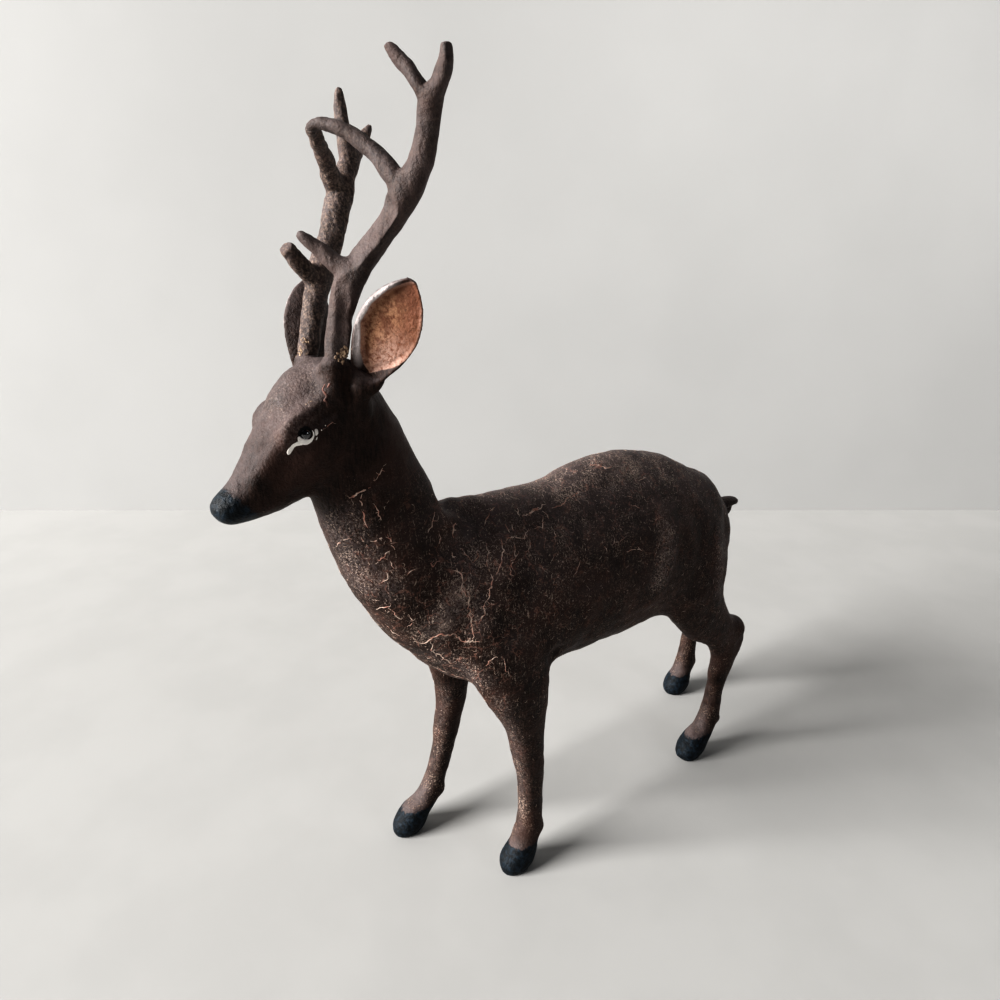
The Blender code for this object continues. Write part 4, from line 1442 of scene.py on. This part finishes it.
def run_tree(piece, tree, **values):
    """Runs a tree on the piece with these inputs and keeps the result as a plain mesh."""
    modifier = piece.modifiers.new(tree.name, "NODES")
    modifier.node_group = tree
    for item in tree.interface.items_tree:
        if item.item_type == "SOCKET" and item.in_out == "INPUT" and item.name.replace(" ", "_") in values:
            modifier[item.identifier] = values[item.name.replace(" ", "_")]
    bake_modifiers(piece)


# Spacing of a crack's points and of its kinks, and the kinks' reach, in millimetres
CRACK_SPACING = 0.27
KINK_SPACING = 0.8
KINK_REACH = 0.27
# How a crack's width varies from kink to kink and from point to point
WIDTH_SWELL = (0.55, 1.45)
WIDTH_JITTER = (0.8, 1.2)
# Side cracks: the share of kinks with one, its length and unevenness in millimetres, its points and widths
TWIG_SHARE = 0.22
TWIG_LENGTH = (0.8, 2.2)
TWIG_JITTER = 0.1
TWIG_STEPS = (0, 0.35, 0.7, 1)
TWIG_WIDTHS = (0.7, 0.6, 0.5, 0.3)


def crack_lines(skin, cracks, gaps, seed):
    """Jagged chains along these cracks on both sides, drawn onto the skin, broken here and there."""
    tree = tree_of(skin)
    rng = np.random.default_rng(seed)
    vertices, edges, thickness = [], [], []

    def lay(chain, halves, kept):
        start = len(vertices)
        for row, half in zip(chain, halves):
            spot, normal, _, _ = tree.find_nearest(Vector(row))
            vertices.append(spot - normal * half * 0.5)
            thickness.append(half)
        edges.extend((start + k, start + k + 1) for k in range(len(chain) - 1) if kept[k])

    for width, *pixels in cracks:
        near = [spot for spot, _ in cast_pixels(tree, pixels)]
        far = [mirrored(spot) + Vector(FAR_SHIFT) * MM for spot in near]
        for spots in (near, far):
            chain = smooth_chain(spots, CRACK_SPACING * MM)
            count = len(chain)
            length = np.linalg.norm(np.diff(chain, axis=0), axis=1).sum() / MM
            knots = max(3, int(length / KINK_SPACING))
            at = np.linspace(0, knots - 1, count)
            kinks = rng.normal(0, KINK_REACH * MM, (knots, 3))
            kinks[0] = kinks[-1] = 0
            chain = chain + np.stack([np.interp(at, np.arange(knots), kinks[:, k]) for k in range(3)], 1)
            swell = np.interp(at, np.arange(knots), rng.uniform(*WIDTH_SWELL, knots))
            taper = np.sin(math.pi * (0.12 + 0.76 * np.arange(count) / (count - 1)))
            halves = width * MM / 2 * taper * swell * rng.uniform(*WIDTH_JITTER, count)
            kept = rng.random(knots)[at.astype(int)] > gaps
            lay(chain, halves, kept)
            for _ in range(rng.binomial(knots, TWIG_SHARE)):
                root = int(rng.integers(1, count - 1))
                way = rng.normal(size=3)
                way *= rng.uniform(*TWIG_LENGTH) * MM / np.linalg.norm(way)
                twig = chain[root] + np.outer(TWIG_STEPS, way) + rng.normal(0, TWIG_JITTER * MM, (4, 3))
                lay(twig, halves[root] * np.array(TWIG_WIDTHS), (True,) * 3)
    return vertices, edges, thickness


def make_cracks(sizes, look):
    tree = path_tree("Tube along a crack")
    for name, cracks, gaps, pale, deep, seed in (
        ("cracks_wide", RED_CRACKS, 0.04, look.crack_red, look.crack_tan, 5),
        ("cracks_narrow", PALE_CRACKS_AND_EDGE_HIGHLIGHT, 0.10, look.crack_tan, look.crack_red, 6),
        ("cracks_seam", SEAM_CRACKS, 0.04, look.crack_seam, look.paint_red, 8),
    ):
        vertices, edges, thickness = crack_lines(bpy.data.objects["skin"], cracks, gaps, seed)
        mesh = bpy.data.meshes.new(name)
        mesh.from_pydata(vertices, edges, [])
        piece = link_piece(name, mesh)
        set_attribute(piece, "thickness", np.array(thickness) * sizes.crack_scale)
        material = crack_fill(name + "_fill", look, pale, deep)
        run_tree(piece, tree, Sides=6, Material=material)
        finish_piece(piece, None, material)


def hairline_tree():
    """Geometry Nodes: wandering hairs of paint scattered over a surface and drawn down onto it."""
    tree = bpy.data.node_groups.new("Hairlines on a skin", "GeometryNodeTree")
    face = tree.interface
    face.new_socket("Geometry", in_out="INPUT", socket_type="NodeSocketGeometry")
    for name, kind in (
        ("Density", "NodeSocketFloat"),
        ("Length", "NodeSocketFloat"),
        ("Thickness", "NodeSocketFloat"),
        ("Wander", "NodeSocketFloat"),
        ("Wander Size", "NodeSocketFloat"),
        ("Points", "NodeSocketInt"),
        ("Sides", "NodeSocketInt"),
        ("Seed", "NodeSocketInt"),
        ("Material", "NodeSocketMaterial"),
    ):
        face.new_socket(name, in_out="INPUT", socket_type=kind)
    face.new_socket("Geometry", in_out="OUTPUT", socket_type="NodeSocketGeometry")
    make, wire = tree.nodes.new, tree.links.new
    source, result = make("NodeGroupInput"), make("NodeGroupOutput")

    def math_node(operation, a, b):
        node = make("ShaderNodeMath")
        node.operation = operation
        for socket, value in zip(node.inputs, (a, b)):
            if isinstance(value, bpy.types.NodeSocket):
                wire(value, socket)
            else:
                socket.default_value = value
        return node.outputs[0]

    def random_value(low, high, seed):
        node = make("FunctionNodeRandomValue")
        node.data_type = "FLOAT"
        floats = [socket for socket in node.inputs if socket.type == "VALUE" and socket.enabled]
        floats[0].default_value, floats[1].default_value = low, high
        wire(math_node("ADD", source.outputs["Seed"], seed), node.inputs["Seed"])
        return next(socket for socket in node.outputs if socket.type == "VALUE" and socket.enabled)

    points = make("GeometryNodeDistributePointsOnFaces")
    wire(source.outputs["Geometry"], points.inputs["Mesh"])
    wire(source.outputs["Seed"], points.inputs["Seed"])
    density = math_node("MULTIPLY", source.outputs["Density"], named_value(tree, "crackle"))
    wire(density, points.inputs["Density"])
    spin = make("FunctionNodeAxisAngleToRotation")
    spin.inputs["Axis"].default_value = (0, 0, 1)
    wire(random_value(0.0, 2 * math.pi, 1), spin.inputs["Angle"])
    turned = make("FunctionNodeRotateRotation")
    turned.rotation_space = "LOCAL"
    wire(points.outputs["Rotation"], turned.inputs[0])
    wire(spin.outputs["Rotation"], turned.inputs[1])
    line = make("GeometryNodeCurvePrimitiveLine")
    line.inputs["Start"].default_value = (-0.5, 0, 0)
    line.inputs["End"].default_value = (0.5, 0, 0)
    fine = make("GeometryNodeResampleCurve")
    wire(line.outputs["Curve"], fine.inputs["Curve"])
    wire(source.outputs["Points"], fine.inputs["Count"])
    placed = make("GeometryNodeInstanceOnPoints")
    wire(points.outputs["Points"], placed.inputs["Points"])
    wire(fine.outputs["Curve"], placed.inputs["Instance"])
    wire(turned.outputs[0], placed.inputs["Rotation"])
    wire(math_node("MULTIPLY", source.outputs["Length"], random_value(0.4, 1.6, 2)), placed.inputs["Scale"])
    loose = make("GeometryNodeRealizeInstances")
    wire(placed.outputs["Instances"], loose.inputs["Geometry"])
    noise = make("ShaderNodeTexNoise")
    wire(make("GeometryNodeInputPosition").outputs["Position"], noise.inputs["Vector"])
    wire(math_node("DIVIDE", 1.0, source.outputs["Wander Size"]), noise.inputs["Scale"])
    centred, swung = make("ShaderNodeVectorMath"), make("ShaderNodeVectorMath")
    centred.operation, swung.operation = "SUBTRACT", "SCALE"
    wire(noise.outputs["Color"], centred.inputs[0])
    centred.inputs[1].default_value = (0.5, 0.5, 0.5)
    wire(centred.outputs["Vector"], swung.inputs[0])
    wire(source.outputs["Wander"], swung.inputs["Scale"])
    moved = make("GeometryNodeSetPosition")
    wire(loose.outputs["Geometry"], moved.inputs["Geometry"])
    wire(swung.outputs["Vector"], moved.inputs["Offset"])
    nearest = make("GeometryNodeProximity")
    wire(source.outputs["Geometry"], nearest.inputs[0])
    drawn = make("GeometryNodeSetPosition")
    wire(moved.outputs["Geometry"], drawn.inputs["Geometry"])
    wire(nearest.outputs["Position"], drawn.inputs["Position"])
    share = make("GeometryNodeSplineParameter").outputs["Factor"]
    taper = math_node("SINE", math_node("MULTIPLY", share, math.pi), 0.0)
    radius = math_node("MULTIPLY", math_node("ADD", math_node("MULTIPLY", taper, 0.8), 0.2), 0.5)
    radius = math_node("MULTIPLY", radius, source.outputs["Thickness"])
    finish_tubes(tree, drawn.outputs["Geometry"], source, result, radius)
    return tree


def make_hairlines(sizes, look):
    material = crack_fill("hairline_fill", look, look.crack_tan, look.tan)
    piece = link_piece("hairlines", bpy.data.objects["skin"].data.copy())
    run_tree(
        piece,
        hairline_tree(),
        Density=sizes.hairline_density,
        Length=sizes.hairline_length,
        Thickness=sizes.hairline_thickness,
        Wander=0.003,
        Wander_Size=0.0011,
        Points=5,
        Sides=3,
        Seed=7,
        Material=material,
    )
    finish_piece(piece, None, material)


# Glue

# Dabs of glue: photograph pixel, half width in millimetres and number of lumps
GLUE_DABS = (
    (298.0, 350.0, 1.7, 30),
    (303.0, 341.0, 1.3, 10),
    (344.0, 353.0, 1.9, 44),
    (341.0, 361.0, 1.2, 16),
    (350.0, 349.0, 1.0, 12),
    (317.0, 270.0, 0.9, 7),
    (309.0, 401.0, 0.8, 7),
)
# How far a dab's lumps scatter in pixels, and their half width, both for each millimetre of the dab
GLUE_SCATTER = 1.6
GLUE_HALF = (0.14, 0.34)
# How deep a lump sits, and its height and shorter width, as shares of its half width
GLUE_SINK = 0.25
GLUE_SHAPE = (0.8, 0.55)


def make_glue(sizes, look):
    """Crumbs of glue pressed into the joints of antlers and ears."""
    names = ("skin", "antler_left_horn", "antler_right_horn", "ear_left_leaf")
    trees = [tree_of(bpy.data.objects[name]) for name in names]
    rng = np.random.default_rng(19)
    bm = bmesh.new()
    for x, y, reach, count in GLUE_DABS:
        for _ in range(count):
            shift = rng.normal(0, reach * GLUE_SCATTER, 2)
            start, way = pixel_ray(x + shift[0], y + shift[1])
            hits = [hit for hit in (tree.ray_cast(start, way) for tree in trees) if hit[0] is not None]
            half = rng.uniform(*GLUE_HALF) * reach * MM
            if not hits:
                continue
            spot, normal, _, _ = min(hits, key=lambda hit: hit[3])
            radii = (half, *(half * share for share in GLUE_SHAPE))
            add_ellipsoid(bm, spot - normal * half * GLUE_SINK, radii, normal, 8)
    piece = link_piece("glue", mesh_from(bm, "glue"))
    roughen(piece, GLUE_LAYERS, seed=41)
    keep_in_box(piece)
    finish_piece(piece, None, glue_finish(look))


# Stage

# The room's floor and wall, in millimetres
WALL_DISTANCE = 390.0
FLOOR_REACH = 2600.0
WALL_HEIGHT = 1300.0


def make_room(stage):
    """A floor with a wall behind the figure, square to the camera's view."""
    right, ahead, _ = camera_axes()
    ahead = Vector((ahead.x, ahead.y, 0)).normalized()
    profile = ((-FLOOR_REACH, 0.0), (WALL_DISTANCE, 0.0), (WALL_DISTANCE, WALL_HEIGHT))
    vertices = []
    for along, up in profile:
        for across in (-FLOOR_REACH, FLOOR_REACH):
            vertices.append((ahead * along + right * across + UP * up) * MM)
    faces = [(2 * k, 2 * k + 1, 2 * k + 3, 2 * k + 2) for k in range(len(profile) - 1)]
    piece = new_piece("room", vertices, faces)
    piece.data.materials.append(room_paint("floor_paint", stage.floor_color, 60.0))
    piece.data.materials.append(room_paint("wall_paint", stage.wall_color, 200.0))
    piece.data.polygons[1].material_index = 1


def make_camera():
    camera = bpy.data.cameras.new("camera")
    camera.sensor_width = 36.0
    camera.lens = PHOTO_FOCAL / (2 * PHOTO_MIDDLE) * camera.sensor_width
    camera.clip_start, camera.clip_end = 0.01, 20.0
    holder = link_piece("camera", camera)
    right, ahead, up = camera_axes()
    turn = Matrix((right, up, -ahead)).transposed()
    holder.matrix_world = Matrix.Translation(place(*CAMERA_PLACE)) @ turn.to_4x4()
    bpy.context.scene.camera = holder


# What the lights are turned to, in carving millimetres
LIGHT_TARGET = (0.0, -20.0, 120.0)
# Directions of the lights: shares to the camera's right, back towards the camera and up
KEY_WAY = (-0.90, 0.34, 0.40)
FILL_WAY = (0.748, 0.527, 0.404)
WASH_WAY = (0.0, 0.27, 0.29)
# The spot on the wall that its own light is turned to, in millimetres the same way
WALL_SPOT = (400, -WALL_DISTANCE, 330)
# The weak light on the wall is shaded, so that it leaves the figure alone; in degrees
WASH_SPREAD = 62.0


def add_light(name, direction, distance, size, power, color, target=None):
    light = bpy.data.lights.new(name, "AREA")
    light.shape = "RECTANGLE"
    light.size, light.size_y = size
    light.energy, light.color = power, color
    holder = link_piece(name, light)
    target = target or place(*LIGHT_TARGET)
    way = Vector(direction).normalized()
    holder.location = target + way * distance
    holder.rotation_mode = "QUATERNION"
    holder.rotation_quaternion = way.to_track_quat("Z", "Y")
    return light


def from_camera(x, y, z):
    """A vector to the camera's right, back towards the camera and up."""
    right, ahead, _ = camera_axes()
    back = Vector((-ahead.x, -ahead.y, 0)).normalized()
    return right * x + back * y + UP * z


def make_lights(stage):
    warm, cool, plain = (1.0, 0.99, 0.975), (0.93, 0.96, 1.0), (1.0, 0.99, 0.98)
    add_light("key", from_camera(*KEY_WAY), 5.0, (2.6, 3.0), stage.key_power, warm)
    add_light("fill", from_camera(*FILL_WAY), 0.9, (0.25, 0.25), stage.fill_power, cool)
    wall = from_camera(*WALL_SPOT) * MM
    wash = add_light("wash", from_camera(*WASH_WAY), 0.4, (0.8, 0.2), stage.wash_power, plain, wall)
    wash.spread = math.radians(WASH_SPREAD)
    world = bpy.data.worlds.new("studio")
    world.use_nodes = True
    background = world.node_tree.nodes["Background"]
    background.inputs["Color"].default_value = (0.86, 0.92, 1.0, 1.0)
    background.inputs["Strength"].default_value = stage.ambient
    bpy.context.scene.world = world
    bpy.context.scene.view_settings.view_transform = "Standard"
    bpy.context.scene.view_settings.look = "High Contrast"


# Settings


def color_property(name, description, default):
    return bpy.props.FloatVectorProperty(
        name=name, description=description, default=default, size=3, min=0.0, max=1.0, subtype="COLOR"
    )


def length_property(name, description, default):
    return bpy.props.FloatProperty(
        name=name, description=description, default=default, min=0.0, precision=5, subtype="DISTANCE",
        unit="LENGTH",
    )


def share_property(name, description, default):
    return bpy.props.FloatProperty(name=name, description=description, default=default, min=0.0, max=1.0)


def power_property(name, description, default):
    return bpy.props.FloatProperty(name=name, description=description, default=default, min=0.0, unit="POWER")


class ReindeerColours(bpy.types.PropertyGroup):
    paint_dark: color_property("Dark paint", "Darkest brown of the coat", (0.0125, 0.0064, 0.0045))
    paint_brown: color_property("Brown paint", "Main brown of the coat", (0.042, 0.0225, 0.0165))
    paint_red: color_property("Red-brown paint", "Warm brown that shows in patches", (0.064, 0.032, 0.024))
    crack_red: color_property("Crack red", "Reddish filling of the larger cracks", (0.40, 0.205, 0.155))
    crack_seam: color_property("Seam red", "Dull red of the seams at the ears", (0.20, 0.085, 0.062))
    tan: color_property("Tan", "Pale specks where bare paper shows through", (0.33, 0.235, 0.18))
    # The dust colour also paints the sheen of the light on upper faces and lit patches
    dust_and_sheen: color_property("Dust", "Dusty sheen on what faces up", (0.225, 0.187, 0.186))
    crack_tan: color_property("Crack tan", "Pale filling of the larger cracks", (0.62, 0.49, 0.41))
    slate: color_property("Slate", "Hooves and nose", (0.012, 0.021, 0.031))
    slate_dark: color_property("Dark slate", "Darker slate of hooves and nose", (0.003, 0.005, 0.007))
    ear_orange: color_property("Ear orange", "Hollow of the ears", (0.38, 0.21, 0.125))
    # Also paints the shade on the hollows' far side and top
    ear_deep: color_property("Ear shade", "Darker mottling of the ears' hollows", (0.17, 0.072, 0.042))
    # A painted highlight on the ears' fore rim
    ear_rim: color_property("Ear rim", "Dusty fore rim of the ears", (0.48, 0.43, 0.42))
    ear_pink: color_property("Ear pink", "Pinkish mottling of the ears' hollows", (0.42, 0.28, 0.23))
    # Also the dark line round the eyes and the painted shadow under the lids
    eye_black: color_property("Eye black", "Glossy bead of the eyes", (0.005, 0.005, 0.006))
    # A painted reflection on the beads' upper edge
    eye_painted_reflection: color_property("Eye grey", "Painted grey on the beads' upper edge", (0.25, 0.26, 0.26))
    eye_white: color_property("Eye white", "Pale paint round the eyes", (0.95, 0.90, 0.84))
    glue_pale: color_property("Glue", "Lumps of glue in the joints", (0.42, 0.30, 0.20))
    glue_dark: color_property("Stained glue", "Darker parts of the glue", (0.10, 0.06, 0.04))
    gloss: share_property("Gloss", "Strength of the paint's reflections", 0.22)
    antler_gloss: share_property("Antler gloss", "Strength of the antlers' reflections", 0.45)


class ReindeerSizes(bpy.types.PropertyGroup):
    skin_grid: length_property("Skin grid", "Spacing of the skin's mesh", 0.00115)
    antler_grid: length_property("Antler grid", "Spacing of the antlers' mesh", 0.00050)
    ear_grid: length_property("Ear grid", "Spacing of the mesh of ears and tail", 0.00045)
    crack_scale: bpy.props.FloatProperty(
        name="Crack scale", description="Multiplies the width of the larger cracks", default=1.0, min=0.0
    )
    hairline_length: length_property("Hairline length", "Usual length of a fine crack", 0.0014)
    hairline_thickness: length_property("Hairline thickness", "Width of a fine crack", 0.00018)
    hairline_density: bpy.props.FloatProperty(
        name="Hairline density", description="Fine cracks to a square metre", default=105000.0, min=0.0
    )


class ReindeerStage(bpy.types.PropertyGroup):
    floor_color: color_property("Floor", "Pale floor", (0.42, 0.415, 0.405))
    wall_color: color_property("Wall", "Pale wall behind the figure", (0.395, 0.392, 0.386))
    key_power: power_property("Key light", "Power of the large soft light", 660.0)
    fill_power: power_property("Fill light", "Power of the weak light opposite", 0.75)
    wash_power: power_property("Wall light", "Power of the shaded light on the wall", 0.22)
    ambient: bpy.props.FloatProperty(
        name="Ambient", description="Strength of the light from all round", default=0.02, min=0.0
    )


# Operators


class REINDEER_OT_stage(bpy.types.Operator):
    """Add the floor, the wall, the camera and the lights"""

    bl_idname = "reindeer.stage"
    bl_label = "Stage"

    def execute(self, context):
        make_room(context.scene.reindeer_stage)
        make_camera()
        make_lights(context.scene.reindeer_stage)
        return {"FINISHED"}


class PieceOperator:
    """What the operators of the figure's own pieces share."""

    bl_options = {"REGISTER"}

    def execute(self, context):
        self.build(context.scene.reindeer_sizes, context.scene.reindeer_colours)
        return {"FINISHED"}


class REINDEER_OT_skin(PieceOperator, bpy.types.Operator):
    """Cover the body with a smooth, finely modelled skin"""

    bl_idname = "reindeer.skin"
    bl_label = "Skin"
    build = staticmethod(make_skin)


class REINDEER_OT_antlers(PieceOperator, bpy.types.Operator):
    """Make both antlers"""

    bl_idname = "reindeer.antlers"
    bl_label = "Antlers"
    build = staticmethod(make_antlers)


class REINDEER_OT_ears(PieceOperator, bpy.types.Operator):
    """Make both ears, with their painted hollows"""

    bl_idname = "reindeer.ears"
    bl_label = "Ears"
    build = staticmethod(make_ears)


class REINDEER_OT_tail(PieceOperator, bpy.types.Operator):
    """Make the tail"""

    bl_idname = "reindeer.tail"
    bl_label = "Tail"
    build = staticmethod(make_tail)


class REINDEER_OT_eyes(PieceOperator, bpy.types.Operator):
    """Make the glossy beads of the eyes"""

    bl_idname = "reindeer.eyes"
    bl_label = "Eyes"
    build = staticmethod(make_eyes)


class REINDEER_OT_eye_paint(PieceOperator, bpy.types.Operator):
    """Paint the pale strokes round the eyes"""

    bl_idname = "reindeer.eye_paint"
    bl_label = "Eye paint"
    build = staticmethod(make_eye_paint)


class REINDEER_OT_cracks(PieceOperator, bpy.types.Operator):
    """Lay the larger cracks of chest, shoulder and neck"""

    bl_idname = "reindeer.cracks"
    bl_label = "Cracks"
    build = staticmethod(make_cracks)


class REINDEER_OT_hairlines(PieceOperator, bpy.types.Operator):
    """Scatter the fine cracks over the skin"""

    bl_idname = "reindeer.hairlines"
    bl_label = "Hairlines"
    build = staticmethod(make_hairlines)


class REINDEER_OT_glue(PieceOperator, bpy.types.Operator):
    """Press lumps of glue into the joints"""

    bl_idname = "reindeer.glue"
    bl_label = "Glue"
    build = staticmethod(make_glue)


class REINDEER_PT_panel(bpy.types.Panel):
    """Lists the pieces of the reindeer and their settings"""

    bl_idname = "REINDEER_PT_panel"
    bl_label = "Reindeer"
    bl_space_type = "VIEW_3D"
    bl_region_type = "UI"
    bl_category = "Reindeer"

    def draw(self, context):
        for operator in OPERATORS:
            self.layout.operator(operator.bl_idname)
        for group_name in GROUPS:
            group = getattr(context.scene, group_name)
            box = self.layout.box()
            for name in group.bl_rna.properties.keys():
                if name not in ("rna_type", "name"):
                    box.prop(group, name)


OPERATORS = (
    REINDEER_OT_stage,
    REINDEER_OT_skin,
    REINDEER_OT_antlers,
    REINDEER_OT_ears,
    REINDEER_OT_tail,
    REINDEER_OT_eyes,
    REINDEER_OT_eye_paint,
    REINDEER_OT_cracks,
    REINDEER_OT_hairlines,
    REINDEER_OT_glue,
)
GROUPS = {
    "reindeer_sizes": ReindeerSizes,
    "reindeer_colours": ReindeerColours,
    "reindeer_stage": ReindeerStage,
}
CLASSES = (*GROUPS.values(), *OPERATORS, REINDEER_PT_panel)


def register():
    for cls in CLASSES:
        bpy.utils.register_class(cls)
    for name, group in GROUPS.items():
        setattr(bpy.types.Scene, name, bpy.props.PointerProperty(type=group))


def unregister():
    for name in GROUPS:
        delattr(bpy.types.Scene, name)
    for cls in reversed(CLASSES):
        bpy.utils.unregister_class(cls)


def main():
    register()
    bpy.ops.reindeer.stage()
    bpy.ops.reindeer.skin()
    bpy.ops.reindeer.antlers()
    bpy.ops.reindeer.ears()
    bpy.ops.reindeer.tail()
    bpy.ops.reindeer.eyes()
    bpy.ops.reindeer.eye_paint()
    bpy.ops.reindeer.cracks()
    bpy.ops.reindeer.hairlines()
    bpy.ops.reindeer.glue()


if __name__ == "__main__":
    main()
